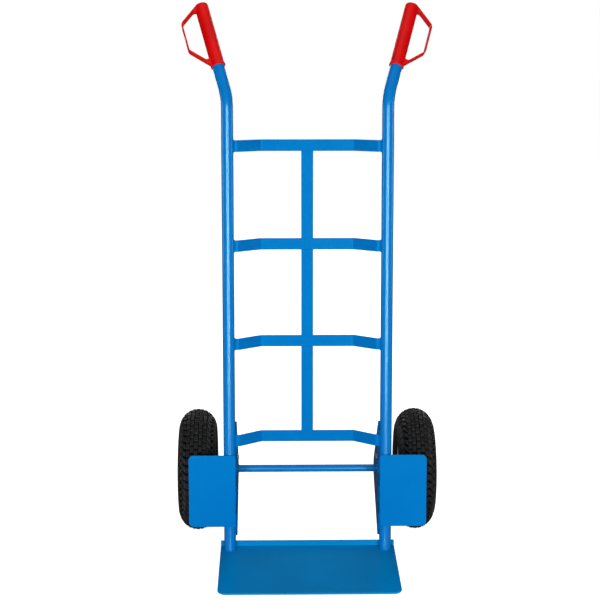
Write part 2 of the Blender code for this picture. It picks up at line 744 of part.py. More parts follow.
def make_rim_bolts(prefix, hub_axis, rotation):
    """Domed bolts from the outer side, with hexagonal nuts behind the inner disc."""
    face = RIM_DISC_OFFSET + RIM_SHEET / 2 + FIT_GAP
    wheel = new_empty(prefix + "_bolt_circle", rotation=rotation, parent=hub_axis)
    for i, angle in enumerate(bolt_angles()):
        where = Vector((math.cos(angle), math.sin(angle), 0)) * RIM_BOLT_CIRCLE
        bolt = dome_bolt(f"{prefix}_rim_bolt_{i + 1}", RIM_BOLT_LENGTH)
        place(bolt, ZINC, wheel, (where.x, where.y, face))
        outlines = [
            circle((0, 0), NUT_CORNER_RADIUS, NUT_SIDES),
            circle((0, 0), RIM_BOLT_RADIUS + FIT_GAP, SMALL_STEPS),
        ]
        nut = extruded(f"{prefix}_rim_nut_{i + 1}", outlines, NUT_HEIGHT)
        place(nut, ZINC, wheel, (where.x, where.y, -face - NUT_HEIGHT / 2))


def make_valve(prefix, hub_axis, rotation):
    """Stem from the inner tube in through the rim's seat and out beside the hub."""
    start = Vector((TUBE_BOTTOM - FIT_GAP, 0, VALVE_OFFSET))
    corner = Vector((VALVE_DISTANCE, 0, VALVE_OFFSET))
    end = Vector((VALVE_DISTANCE, 0, VALVE_REACH))
    line = [start, *arc_between(start, corner, end, VALVE_RADIUS, BEND_STEPS), end]
    wheel = new_empty(prefix + "_valve_place", rotation=rotation, parent=hub_axis)
    stem = swept(prefix + "_valve_stem", line, VALVE_RADIUS, SMALL_STEPS)
    place(stem, TUBE_BLACK, wheel, rotation=(0, 0, valve_angle()))


def make_wheel(side_name, side):
    prefix = side_name + "_wheel"
    where = (side * WHEEL_CENTRE_X, AXLE_SETBACK, AXLE_HEIGHT)
    hub_axis = new_empty(prefix + "_axis", where)
    rotation = (0, side * math.pi / 2, 0)
    make_tyre(prefix, hub_axis, rotation)
    make_inner_tube(prefix, hub_axis, rotation)
    make_rim_halves(prefix, hub_axis, rotation)
    make_hub(prefix, hub_axis, rotation)
    make_bearings(prefix, hub_axis, rotation)
    make_rim_bolts(prefix, hub_axis, rotation)
    make_valve(prefix, hub_axis, rotation)


# ---------------------------------------------------------------- hand grips


def grip_profile():
    """Sleeve outline with a lip at its open end; its cap is the upper end, at height 0."""
    outer = TUBE_RADIUS + FIT_GAP + GRIP_WALL
    lip, low = outer + GRIP_LIP_HEIGHT, -GRIP_LENGTH
    shoulder = (outer, low + GRIP_LIP_LENGTH + GRIP_LIP_HEIGHT)
    edge = arc_between((0, 0), (outer, -GRIP_CROWN), shoulder, GRIP_CAP_RADIUS, DOME_STEPS)
    cap = [(0, 0), *((point.x, point.y) for point in edge)]
    return [*cap, shoulder, (lip, low + GRIP_LIP_LENGTH), (lip, low), (0, low)]


def loop_line():
    """The guard loop beside the sleeve, as (outwards, up), with its corners rounded."""
    reach = LOOP_REACH - LOOP_THICKNESS / 2
    places = [
        (TUBE_RADIUS, LOOP_TOP_ROOT),
        (reach, LOOP_TOP_CORNER),
        (reach, LOOP_LOW_CORNER),
        (TUBE_RADIUS, LOOP_LOW_ROOT),
    ]
    top, *corners, low = [Vector((out, -share * GRIP_LENGTH)) for out, share in places]
    line = [top]
    for before, corner, after in zip((top, corners[0]), corners, (corners[1], low)):
        line += arc_between(before, corner, after, LOOP_CORNER_RADIUS, BEND_STEPS)
    return [*line, low]


def grip_axes(name, side):
    """Empty at the cap's top: its X points outwards and its Z up the handle."""
    up = handle_direction(side)
    across = Vector((side, 0, 0))
    outwards = (across - up * across.dot(up)).normalized()
    axes = Matrix((outwards, up.cross(outwards), up)).transposed()
    turned_axes = Matrix.Rotation(GRIP_TURN[name], 3, up) @ axes
    top = handle_corner(side) + up * (HANDLE_LENGTH + GRIP_CAP_HEIGHT + FIT_GAP)
    return new_empty(name + "_axes", top, turned_axes.to_euler(), FRAME)


def make_grip(side_name, side):
    """Sleeve with a domed cap and a D-shaped guard loop, pushed on the end of the handle."""
    name = side_name + "_grip"
    grip = extruded(name, [thick_line(loop_line(), LOOP_THICKNESS)], LOOP_WIDTH)
    grip.data.transform(Matrix.Rotation(math.pi / 2, 4, "X"))
    sleeve = turned(name + "_sleeve", grip_profile(), ROUND_STEPS)
    bore = cylinder(name + "_bore", TUBE_RADIUS + FIT_GAP, GRIP_LENGTH, TUBE_SIDES)
    bore_middle = (0, 0, -GRIP_CAP_HEIGHT - GRIP_LENGTH / 2)
    combine(grip, add_cutter(sleeve, grip), "UNION")
    combine(grip, add_cutter(bore, grip, bore_middle), "DIFFERENCE")
    place(grip, GRIP_RED, grip_axes(name, side))


# ---------------------------------------------------------------- assembly


def build():
    foot_cutter = make_foot_cutter()
    make_crossbars()
    make_centre_bars()
    make_toe_plate()
    make_axle()
    for side_name, side in SIDES.items():
        make_rail(side_name, side, foot_cutter)
        make_bracket(side_name, side)
        make_bracket_screw(side_name, side)
        make_guard(side_name, side)
        make_spacer(side_name, side)
        make_washer(side_name, side)
        make_cotter(side_name, side)
        make_wheel(side_name, side)
        make_grip(side_name, side)


build()
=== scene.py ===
"""Looks of a two-wheeled hand truck: blue powder-coated frame, black treaded tyres, red grips."""
import math

import bmesh
import bpy
from mathutils import Matrix, Vector


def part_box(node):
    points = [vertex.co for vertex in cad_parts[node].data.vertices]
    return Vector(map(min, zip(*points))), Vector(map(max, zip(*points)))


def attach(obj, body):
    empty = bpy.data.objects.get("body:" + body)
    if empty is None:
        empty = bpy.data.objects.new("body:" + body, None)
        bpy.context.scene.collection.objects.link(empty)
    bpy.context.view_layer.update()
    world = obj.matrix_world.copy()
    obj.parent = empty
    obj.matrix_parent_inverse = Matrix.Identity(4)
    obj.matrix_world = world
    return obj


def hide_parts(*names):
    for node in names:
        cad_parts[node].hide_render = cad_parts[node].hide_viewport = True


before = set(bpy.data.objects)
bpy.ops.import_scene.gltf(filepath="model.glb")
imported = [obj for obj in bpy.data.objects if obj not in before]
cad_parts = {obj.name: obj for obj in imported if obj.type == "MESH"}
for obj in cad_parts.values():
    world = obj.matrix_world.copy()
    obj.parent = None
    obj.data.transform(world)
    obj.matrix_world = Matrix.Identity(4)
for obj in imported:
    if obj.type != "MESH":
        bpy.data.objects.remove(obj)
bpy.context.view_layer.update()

# Frame sizes, in metres, laid out upright; the frame then leans back
LEAN = math.radians(6.6)
TUBE_RADIUS = 0.0125
RAIL_X = 0.1643
HANDLE_BEND_HEIGHT = 0.955
HANDLE_BEND_RADIUS = 0.085
HANDLE_LENGTH = 0.213
HANDLE_BACK = math.radians(26.0)
HANDLE_SPLAY = math.radians(14.8)
CROSSBAR_COUNT = 4
CROSSBAR_FIRST = 0.2389
CROSSBAR_PITCH = 0.2055
CROSSBAR_HEIGHT = 0.024
BAR_THICKNESS = 0.004
CROSSBAR_BOW = 0.046
CROSSBAR_STRAIGHT = 0.196
CROSSBAR_RETURN = 0.008
CROSSBAR_BEND_RADIUS = 0.012
CENTRE_BAR_WIDTH = 0.025
PLATE_WIDTH = 0.3694
PLATE_REACH = 0.212
PLATE_THICKNESS = 0.004
PLATE_CORNER_RADIUS = 0.019
PLATE_BEND_RADIUS = 0.005
UPSTAND_BEHIND = 0.0178
UPSTAND_HEIGHT = 0.013
BRACKET_THICKNESS = 0.004
BRACKET_TOP = 0.272
BRACKET_BOTTOM = 0.037
BRACKET_FRONT = 0.0055
BRACKET_OUTER_X = 0.15274
BRACKET_TIP_RADIUS = 0.006
BRACKET_NOSE_RADIUS = 0.028
BRACKET_SCREW = (0.055, 0.1907)
SCREW_LENGTH = 0.007
GUARD_WIDTH = 0.098
GUARD_LOW = 0.057
GUARD_HIGH = 0.211
GUARD_THICKNESS = 0.003
GUARD_CORNER_RADIUS = 0.010
EDGE_ROUNDING = 0.0006
GAP = 0.0003

# Wheels and axle
TYRE_RADIUS = 0.1313
TYRE_HALF_WIDTH = 0.0404
SECTION_RADIUS = 0.0405
SECTION_CENTRE = TYRE_RADIUS - SECTION_RADIUS
TYRE_WALL = 0.006
TYRE_STEPS = 112
BEAD_RADIUS = 0.0537
BEAD_SPAN = (0.021, 0.027)
TREAD_DEPTH = 0.0052
AXLE_RADIUS = 0.008
HUB_RADIUS = 0.0205
HUB_LENGTH = 0.070
HUB_BORE_RADIUS = 0.0145
HUB_WELD = 0.0013
HUB_WELD_HEIGHT = 0.0030
BEARING_RADIUS = 0.0175
BEARING_WIDTH = 0.0105
BEARING_SHIELD = (0.0104, 0.0145)
SHIELD_DEPTH = 0.0007
SLIDING_FIT = 0.0002
RIM_SHEET = 0.0018
RIM_SEAT_RADIUS = 0.0515
RIM_FLANGE_RADIUS = 0.0600
RIM_FLANGE_OFFSET = 0.0310
RIM_DISC_OFFSET = 0.0012
RIM_DISH_BEND = 0.0075
RIM_LIP_BEND = 0.003
RIM_RING = (0.0262, 0.0398)
RIM_RING_SLOPE = 0.0010
RIM_RING_RISE = 0.0006
BOLT_CIRCLE = 0.0330
BOLT_RADIUS = 0.003
BOLT_HEAD_RADIUS = 0.0062
BOLT_HEAD_HEIGHT = 0.0036
BOLT_LENGTH = 0.013
NUT_RADIUS = 0.0058
NUT_HEIGHT = 0.005
FIRST_BOLT = math.pi / 24
VALVE_RADIUS = 0.0038
VALVE_OFFSET = 0.0145
VALVE_DISTANCE = 0.0421
VALVE_REACH = 0.036
VALVE_ROOT = 0.0584
VALVE_BEND = 0.0042
VALVE_CAP_LENGTH = 0.0105
VALVE_CAP_SWELL = 0.0004

# Grips
GRIP_WALL = 0.0014
GRIP_LENGTH = 0.147
GRIP_CAP_HEIGHT = 0.004
LOOP_REACH = 0.0510
LOOP_THICKNESS = 0.0032
LOOP_WIDTH = 0.0160
GRIP_TURN = {"left": 0.0, "right": math.radians(9.0)}
GRIP_CAP_BEND = 0.005
# Moulded lip at the grip's lower end, as (out from the sleeve, up from the end)
GRIP_LIP = (
    (0.0, 0.0075), (0.0003, 0.0060), (0.0010, 0.0042),
    (0.0012, 0.0030), (0.0012, 0.0008), (0.0006, 0.0),
)
# Heights on the loop, as shares of the grip's length
LOOP_SHARES = (0.041, 0.245, 0.673, 0.946)
LOOP_ROOT = 0.0095
LOOP_ROOT_CENTRE = 0.0125
LOOP_HOLE_ROOT = 0.0112
LOOP_OUTER_RADIUS = 0.0136
LOOP_INNER_RADIUS = 0.0104
LOOP_FILLET = 0.0065
LOOP_EDGE = 0.0007

# Tread: rows round the tyre, and angles across its section
TREAD_ROWS = 46
TREAD_COLUMNS = range(-2, 3)
COLUMN_STEP = math.radians(13.4)
SHOULDER_ANGLE = math.radians(42.5)
LUG_ANGLE = math.radians(61.0)
# Blocks as (half length along the tyre, half angle across it, skew)
MIDDLE_BLOCK = (0.0064, math.radians(5.4), 0.0)
SHOULDER_BLOCK = (0.0048, math.radians(7.6), 0.0042)
LUG_BLOCK = (0.0040, math.radians(7.2), -0.0026)
BLOCK_ROUNDING = 0.0009
BLOCK_CORNER = 0.2
BLOCK_FOOT = 0.0006
SIDEWALL_RADIUS = 0.1065
SIDEWALL_RIBS = (78, 96, 114)
RIB_HEIGHT = 0.0005
RIB_HALF_ANGLE = 2.4
SECTION_REACH = math.radians(135.0)
OUTER_STEPS = 180
INNER_STEPS = 24

# Weld beads: radii, the spacing of their ripples and how much each one swells
BAR_WELD = 0.0014
AXLE_WELD = 0.0015
GUARD_WELD = 0.0015
BRACKET_WELD = 0.0018
WELD_SINK = 0.0002
WELD_STEP = 0.0007
WELD_SIDES = 8
WELD_RIPPLE = (0.10, 0.04, -0.10, -0.04)
BRACKET_WELD_STARTS = (0.045, 0.105, 0.165, 0.225)
BRACKET_WELD_LENGTH = 0.034
GUARD_WELD_LENGTH = 0.030
GUARD_WELD_OFFSET = 0.0042

# Camera
CAMERA_PLACE = (-0.0673, -2.9454, 1.3275)
CAMERA_YAW = math.radians(0.98)
CAMERA_PITCH = math.radians(14.78)
CAMERA_ROLL = math.radians(0.08)
CAMERA_LENS = 90.0

# Studio floor
FLOOR_RADIUS = 9.0
FLOOR_HEIGHT = -0.0006

# Sides of the round shapes
ROUND_STEPS = 96
TUBE_SIDES = 64

SIDES = {"left": -1, "right": 1}
LEAN_BACK = Matrix.Rotation(-LEAN, 4, "X")


# ---- node helpers


def new_material(name):
    material = bpy.data.materials.new(name)
    material.use_nodes = True
    tree = material.node_tree
    return material, tree, tree.nodes["Principled BSDF"]


def link(tree, source, target):
    tree.links.new(source, target)


def object_coordinates(tree):
    return tree.nodes.new("ShaderNodeTexCoord").outputs["Object"]


def noise(tree, coordinates, scale, detail=3.0, roughness=0.5, stretch=None):
    """The value of a noise whose features are about 1/scale metres across."""
    if stretch:
        mapping = tree.nodes.new("ShaderNodeMapping")
        mapping.inputs["Scale"].default_value = stretch
        link(tree, coordinates, mapping.inputs["Vector"])
        coordinates = mapping.outputs["Vector"]
    node = tree.nodes.new("ShaderNodeTexNoise")
    node.inputs["Scale"].default_value = scale
    node.inputs["Detail"].default_value = detail
    node.inputs["Roughness"].default_value = roughness
    link(tree, coordinates, node.inputs["Vector"])
    return node.outputs["Fac"]


def remap(tree, value, low, high, to_low, to_high):
    node = tree.nodes.new("ShaderNodeMapRange")
    node.inputs["From Min"].default_value = low
    node.inputs["From Max"].default_value = high
    node.inputs["To Min"].default_value = to_low
    node.inputs["To Max"].default_value = to_high
    link(tree, value, node.inputs["Value"])
    return node.outputs["Result"]


def maths(tree, operation, first, second):
    node = tree.nodes.new("ShaderNodeMath")
    node.operation = operation
    for socket, value in zip(node.inputs, (first, second)):
        if isinstance(value, float):
            socket.default_value = value
        else:
            link(tree, value, socket)
    return node.outputs["Value"]


def mixed(tree, factor, first, second):
    """Colour between two colours, each a tuple or a socket."""
    node = tree.nodes.new("ShaderNodeMix")
    node.data_type = "RGBA"
    link(tree, factor, node.inputs["Factor"])
    for name, value in (("A", first), ("B", second)):
        socket = next(s for s in node.inputs if s.name == name and s.type == "RGBA")
        if isinstance(value, tuple):
            socket.default_value = (*value, 1.0)
        else:
            link(tree, value, socket)
    return next(s for s in node.outputs if s.type == "RGBA")


def bumped(tree, shader, layers):
    """Bump from (height, depth in metres) layers, the finest last."""
    normal = None
    for height, depth in layers:
        bump = tree.nodes.new("ShaderNodeBump")
        bump.inputs["Strength"].default_value = 1.0
        bump.inputs["Distance"].default_value = depth
        link(tree, height, bump.inputs["Height"])
        if normal:
            link(tree, normal, bump.inputs["Normal"])
        normal = bump.outputs["Normal"]
    link(tree, normal, shader.inputs["Normal"])


def edge_mask(tree, radius):
    """1 near a sharp edge and 0 on flat ground."""
    bevel = tree.nodes.new("ShaderNodeBevel")
    bevel.samples = 4
    bevel.inputs["Radius"].default_value = radius
    geometry = tree.nodes.new("ShaderNodeNewGeometry")
    dot = tree.nodes.new("ShaderNodeVectorMath")
    dot.operation = "DOT_PRODUCT"
    link(tree, bevel.outputs["Normal"], dot.inputs[0])
    link(tree, geometry.outputs["Normal"], dot.inputs[1])
    return remap(tree, dot.outputs["Value"], 0.97, 0.86, 0.0, 1.0)


# ---- materials

SCUFFED_BLUE = (0.10, 0.24, 0.42)
WORN_BLUE = (0.02, 0.25, 0.55)

def make_paint(name, light, dark, scuffs, shine, warmth):
    """Powder coat: orange peel, faint clouding, dust specks, scuffs and thin edges."""
    material, tree, shader = new_material(name)
    where = object_coordinates(tree)
    cloud = remap(tree, noise(tree, where, 7.0, 4.0), 0.35, 0.65, 0.0, 1.0)
    color = mixed(tree, cloud, dark, light)
    speck = remap(tree, noise(tree, where, 1400.0, 1.0), 0.76, 0.82, 0.0, 0.2)
    color = mixed(tree, speck, color, tuple(c * 0.6 for c in dark))
    streak = noise(tree, where, 60.0, 5.0, 0.7, (1.0, 14.0, 1.0))
    scuff = remap(tree, streak, 0.66, 0.80, 0.0, scuffs)
    color = mixed(tree, scuff, color, SCUFFED_BLUE)
    edge_wear_and_highlight = maths(tree, "MULTIPLY", edge_mask(tree, 0.0012), noise(tree, where, 90.0))
    edge_wear_and_highlight = remap(tree, edge_wear_and_highlight, 0.25, 0.75, 0.0, 0.35)
    color = mixed(tree, edge_wear_and_highlight, color, WORN_BLUE)
    link(tree, color, shader.inputs["Base Color"])
    grain = noise(tree, where, 30.0, 3.0)
    rough = remap(tree, grain, 0.3, 0.7, 0.205, 0.235)
    rough = maths(tree, "ADD", rough, maths(tree, "MULTIPLY", scuff, 0.3))
    link(tree, rough, shader.inputs["Roughness"])
    shader.inputs["Specular IOR Level"].default_value = shine
    shader.inputs["Specular Tint"].default_value = (warmth, 0.97, 1.0, 1.0)
    peel = noise(tree, where, 420.0, 2.0)
    fine = noise(tree, where, 1900.0, 1.0)
    bumped(tree, shader, [(peel, 0.000006), (fine, 0.0000015)])
    return material


def make_rubber(name, dark, light, edge, shine):
    """Tyre rubber: mottled black, matt, with fine grain, lighter edges that are a painted highlight,
    and a little dust.
    """
    material, tree, shader = new_material(name)
    where = object_coordinates(tree)
    mottle = remap(tree, noise(tree, where, 45.0, 5.0, 0.6), 0.35, 0.7, 0.0, 1.0)
    color = mixed(tree, mottle, (dark,) * 3, (light,) * 3)
    dust = remap(tree, noise(tree, where, 160.0, 6.0, 0.7), 0.62, 0.80, 0.0, 0.3)
    color = mixed(tree, dust, color, (light * 2.2, light * 2.15, light * 2.1))
    # Sharp edges are lightened towards the edge colour: a painted highlight on the block edges.
    edge_wear_and_highlight = remap(tree, edge_mask(tree, 0.0006), 0.0, 1.0, 0.0, 0.6)
    color = mixed(tree, edge_wear_and_highlight, color, (edge,) * 3)
    link(tree, color, shader.inputs["Base Color"])
    rough = remap(tree, noise(tree, where, 300.0, 4.0), 0.3, 0.7, 0.46, 0.66)
    link(tree, rough, shader.inputs["Roughness"])
    shader.inputs["Specular IOR Level"].default_value = shine
    coarse = noise(tree, where, 500.0, 4.0, 0.6)
    fine = noise(tree, where, 2400.0, 2.0)
    bumped(tree, shader, [(coarse, 0.00005), (fine, 0.00001)])
    return material


def make_soft_plastic():
    """Grip vinyl: saturated red, satin, with a fine moulded grain and slight shade changes."""
    material, tree, shader = new_material("grip_vinyl")
    where = object_coordinates(tree)
    cloud = remap(tree, noise(tree, where, 24.0, 4.0), 0.35, 0.65, 0.0, 1.0)
    color = mixed(tree, cloud, (0.56, 0.0, 0.0), (0.66, 0.001, 0.001))
    rub = remap(tree, noise(tree, where, 130.0, 6.0, 0.7), 0.62, 0.80, 0.0, 0.3)
    color = mixed(tree, rub, color, (0.62, 0.015, 0.015))
    link(tree, color, shader.inputs["Base Color"])
    rough = remap(tree, noise(tree, where, 260.0, 3.0), 0.3, 0.7, 0.36, 0.46)
    link(tree, rough, shader.inputs["Roughness"])
    shader.inputs["Specular IOR Level"].default_value = 0.22
    grain = noise(tree, where, 1100.0, 3.0, 0.6)
    wave = noise(tree, where, 70.0, 2.0)
    bumped(tree, shader, [(wave, 0.00018), (grain, 0.00004)])
    return material


def make_metal(name, light, dark, rough_low, rough_high, metallic, scale):
    """Plated or bare steel: brushed round its axis, with dull patches."""
    material, tree, shader = new_material(name)
    where = object_coordinates(tree)
    patch = remap(tree, noise(tree, where, scale, 5.0, 0.65), 0.35, 0.65, 0.0, 1.0)
    link(tree, mixed(tree, patch, dark, light), shader.inputs["Base Color"])
    grain = noise(tree, where, 900.0, 3.0, 0.6, (0.15, 1.0, 1.0))
    rough = remap(tree, grain, 0.3, 0.7, rough_low, rough_high)
    link(tree, rough, shader.inputs["Roughness"])
    shader.inputs["Metallic"].default_value = metallic
    bumped(tree, shader, [(grain, 0.00002)])
    return material


PAINT = make_paint("frame_paint", (0.0, 0.151, 0.458), (0.0, 0.142, 0.438), 0.03, 0.12, 0.1)
TUBE_PAINT = make_paint("tube_paint", (0.0, 0.168, 0.510), (0.0, 0.158, 0.485), 0.03, 0.8, 0.5)
# Bracket paint is the frame's blue at about half brightness: painted shade for the brackets' inner
# faces, which face each other.
BRACKET_SHADE_PAINT = make_paint("bracket_paint_painted_shade", (0.0, 0.072, 0.235), (0.0, 0.064, 0.212), 0.03, 0.12, 0.1)
PLATE_PAINT = make_paint("toe_plate_paint", (0.0, 0.212, 0.520), (0.0, 0.190, 0.480), 0.12, 0.35, 0.1)
# The first rubber is a darker copy of the tread rubber: painted shade on the groove floors between
# the blocks.
GROOVE_SHADE_RUBBER = make_rubber("tyre_rubber", 0.001, 0.003, 0.008, 0.08)
# The tread rubber's edge colour is far lighter than its body: a painted highlight on the block edges.
BLOCK_RUBBER = make_rubber("tread_rubber", 0.007, 0.013, 0.13, 0.36)
VINYL = make_soft_plastic()
ENAMEL = make_metal("rim_enamel", (0.50, 0.51, 0.53), (0.44, 0.45, 0.47), 0.34, 0.46, 0.0, 60.0)
ZINC = make_metal("zinc_plate", (0.66, 0.67, 0.68), (0.52, 0.53, 0.55), 0.24, 0.40, 1.0, 180.0)
STEEL = make_metal("bearing_steel", (0.48, 0.48, 0.50), (0.36, 0.36, 0.38), 0.22, 0.36, 1.0, 240.0)
TUBE_RUBBER = make_metal("tube_rubber", (0.03, 0.03, 0.03), (0.02, 0.02, 0.02), 0.5, 0.65, 0.0, 90.0)


# ---- mesh helpers


def in_scene(name, data):
    obj = bpy.data.objects.new(name, data)
    bpy.context.scene.collection.objects.link(obj)
    return obj


def finished(
    name, bm, material, body, replaced=(), matrix=None, edge=0.0, angle=40.0, flat=False
):
    """Makes a piece of a bmesh, rounds or marks its sharp edges and hangs it on its body."""
    bmesh.ops.recalc_face_normals(bm, faces=bm.faces)
    mesh = bpy.data.meshes.new(name)
    bm.to_mesh(mesh)
    bm.free()
    if matrix:
        mesh.transform(matrix)
    for layer in material if isinstance(material, tuple) else (material,):
        mesh.materials.append(layer)
    obj = in_scene(name, mesh)
    mesh.shade_smooth()
    if edge:
        bevel = obj.modifiers.new("edges", "BEVEL")
        bevel.width = edge
        bevel.segments = 2
        bevel.limit_method = "ANGLE"
        bevel.angle_limit = math.radians(angle)
    elif flat:
        weights = obj.modifiers.new("flat_faces", "WEIGHTED_NORMAL")
        weights.weight = 100
        weights.keep_sharp = True
    else:
        mesh.set_sharp_from_angle(angle=math.radians(angle))
    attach(obj, body)
    if replaced:
        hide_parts(*replaced)
    return obj


def arc_between(before, corner, after, radius, steps):
    """Points of the arc that rounds a corner between two straight runs."""
    before, corner, after = Vector(before), Vector(corner), Vector(after)
    back, ahead = (before - corner).normalized(), (after - corner).normalized()
    half = back.angle(ahead) / 2
    centre = corner + (back + ahead).normalized() * (radius / math.sin(half))
    first = corner + back * (radius / math.tan(half)) - centre
    last = corner + ahead * (radius / math.tan(half)) - centre
    sweep = first.angle(last)
    points = []
    for i in range(steps + 1):
        share = i / steps
        weight = math.sin((1 - share) * sweep), math.sin(share * sweep)
        points.append(centre + (first * weight[0] + last * weight[1]) / math.sin(sweep))
    return points


def rounded(points, radii, steps=10):
    """A closed outline whose corners are rounded; a radius of 0 keeps the corner."""
    outline = []
    for i, radius in enumerate(radii):
        after = points[(i + 1) % len(points)]
        if radius:
            outline += arc_between(points[i - 1], points[i], after, radius, steps)
        else:
            outline.append(Vector(points[i]))
    return outline


def thick_line(points, thickness):
    """The closed outline of a strip with this thickness along an open line in its plane."""
    points = [Vector((p[0], p[1])) for p in points]
    runs = [(b - a).normalized() for a, b in zip(points, points[1:])]
    sides = []
    for i, point in enumerate(points):
        before, after = runs[max(i - 1, 0)], runs[min(i, len(runs) - 1)]
        across = (before + after).normalized().orthogonal()
        stretch = thickness / 2 / across.dot(after.orthogonal())
        sides.append((point + across * stretch, point - across * stretch))
    return [left for left, _ in sides] + [right for _, right in reversed(sides)]


def slab(outlines, thickness, edge=EDGE_ROUNDING):
    """A flat plate in its XY plane with rounded edges: the first outline, others as holes."""
    curve = bpy.data.curves.new("slab", "CURVE")
    curve.dimensions = "2D"
    curve.fill_mode = "BOTH"
    curve.extrude = thickness / 2 - edge
    curve.bevel_depth = edge
    curve.bevel_resolution = 2
    curve.offset = -edge
    for outline in outlines:
        spline = curve.splines.new("POLY")
        spline.points.add(len(outline) - 1)
        for point, at in zip(spline.points, outline):
            point.co = (at[0], at[1], 0, 1)
        spline.use_cyclic_u = True
    obj = in_scene("slab", curve)
    graph = bpy.context.evaluated_depsgraph_get()
    mesh = bpy.data.meshes.new_from_object(obj.evaluated_get(graph))
    bpy.data.objects.remove(obj, do_unlink=True)
    bpy.data.curves.remove(curve)
    bm = bmesh.new()
    bm.from_mesh(mesh)
    bpy.data.meshes.remove(mesh)
    bmesh.ops.remove_doubles(bm, verts=bm.verts, dist=1e-6)
    return bm


def add_ring(bm, points):
    return [bm.verts.new(point) for point in points]


def bridge(bm, first, second):
    count = len(first)
    for i in range(count):
        j = (i + 1) % count
        bm.faces.new((first[i], first[j], second[j], second[i]))


def skin(bm, rings):
    """Faces from ring to ring, and one over each end."""
    for first, second in zip(rings, rings[1:]):
        bridge(bm, first, second)
    bm.faces.new(rings[0][::-1])
    bm.faces.new(rings[-1])


def lathe(profile, steps):
    """A closed profile of (radius, height) turned about Z."""
    bm = bmesh.new()
    rings = []
    for radius, height in profile:
        if radius < 1e-7:
            rings.append([bm.verts.new((0, 0, height))])
            continue
        angles = [2 * math.pi * i / steps for i in range(steps)]
        ring = [(radius * math.cos(a), radius * math.sin(a), height) for a in angles]
        rings.append(add_ring(bm, ring))
    for first, second in zip(rings, rings[1:] + rings[:1]):
        if len(first) == 1 and len(second) == 1:
            continue
        for i in range(steps):
            j = (i + 1) % steps
            corners = {first[i % len(first)]: 0, first[j % len(first)]: 0}
            corners.update({second[j % len(second)]: 0, second[i % len(second)]: 0})
            bm.faces.new(list(corners))
    return bm


def tube(points, radius, sides, bm=None, closed=False, ripple=None):
    """A round bar along a line; ripple gives the radius a share of itself to swell by."""
    bm = bm or bmesh.new()
    points = [Vector(point) for point in points]
    count = len(points)
    rings, across = [], None
    for i, point in enumerate(points):
        before = points[i - 1] if closed or i else point
        after = points[(i + 1) % count] if closed or i < count - 1 else point
        along = (after - before).normalized()
        across = across or along.orthogonal().normalized()
        across = (across - along * across.dot(along)).normalized()
        up = along.cross(across)
        size = radius * (1 + ripple(i) if ripple else 1)
        angles = [2 * math.pi * j / sides for j in range(sides)]
        ring = [point + (across * math.cos(a) + up * math.sin(a)) * size for a in angles]
        rings.append(add_ring(bm, ring))
    if not closed:
        skin(bm, rings)
        return bm
    for first, second in zip(rings, rings[1:] + rings[:1]):
        bridge(bm, first, second)
    return bm


def weld(bm, points, radius, closed=False):
    """A weld bead along a line, with the ripples of its run."""
    points = [Vector(point) for point in points]
    if closed:
        points.append(points[0])
    line = []
    for a, b in zip(points, points[1:]):
        count = max(1, round((b - a).length / WELD_STEP))
        line += [a.lerp(b, i / count) for i in range(count)]
    if not closed:
        line.append(points[-1])
    tube(line, radius, WELD_SIDES, bm, closed, lambda i: WELD_RIPPLE[i % len(WELD_RIPPLE)])


def moved(bm, matrix):
    bmesh.ops.transform(bm, matrix=matrix, verts=bm.verts)
    return bm


FACING_FRONT = Matrix.Rotation(math.pi / 2, 4, "X")
FACING_SIDE = Matrix.Rotation(math.pi / 2, 4, "Z") @ FACING_FRONT


# ---- frame


def handle_direction(side):
    level = math.cos(HANDLE_SPLAY)
    back, up = level * math.sin(HANDLE_BACK), level * math.cos(HANDLE_BACK)
    return Vector((side * math.sin(HANDLE_SPLAY), back, up))


def make_rail(side_name, side):
    """Smooth tube from the toe plate up round the handle's bend, into the grip."""
    foot = Vector((side * RAIL_X, 0, -TUBE_RADIUS))
    corner = Vector((side * RAIL_X, 0, HANDLE_BEND_HEIGHT))
    end = corner + handle_direction(side) * HANDLE_LENGTH
    line = [foot, *arc_between(foot, corner, end, HANDLE_BEND_RADIUS, 28), end]
    bm = moved(tube(line, TUBE_RADIUS, TUBE_SIDES), LEAN_BACK)
    floor = (0, 0, PLATE_THICKNESS)
    everything = bm.verts[:] + bm.edges[:] + bm.faces[:]
    cut = bmesh.ops.bisect_plane(
        bm, geom=everything, plane_co=floor, plane_no=(0, 0, 1), clear_inner=True
    )
    rim = [item for item in cut["geom_cut"] if isinstance(item, bmesh.types.BMEdge)]
    bmesh.ops.contextual_create(bm, geom=rim)
    finished(side_name + "_rail_tube", bm, TUBE_PAINT, "frame", [side_name + "_rail"])


def crossbar_half():
    """Half of a crossbar's centre line seen from above, from the middle out."""
    end = RAIL_X - TUBE_RADIUS
    points = [
        (0, CROSSBAR_BOW),
        (CROSSBAR_STRAIGHT / 2, CROSSBAR_BOW),
        (end - CROSSBAR_RETURN, BAR_THICKNESS / 2),
        (end + GAP, BAR_THICKNESS / 2),
    ]
    line = [Vector(points[0])]
    radii = (CROSSBAR_BEND_RADIUS, CROSSBAR_BEND_RADIUS / 2)
    for i, radius in zip((1, 2), radii):
        line += arc_between(points[i - 1], points[i], points[i + 1], radius, 6)
    return line + [Vector(points[3])]


def make_crossbars():
    half = crossbar_half()
    line = [Vector((-p.x, p.y)) for p in reversed(half[1:])] + half[1:]
    outline = thick_line(line, BAR_THICKNESS)
    for i in range(CROSSBAR_COUNT):
        bm = slab([outline], CROSSBAR_HEIGHT)
        height = Matrix.Translation((0, 0, CROSSBAR_FIRST + i * CROSSBAR_PITCH))
        name = f"crossbar_{i + 1}"
        finished(name + "_bar", bm, PAINT, "frame", [name], LEAN_BACK @ height, flat=True)


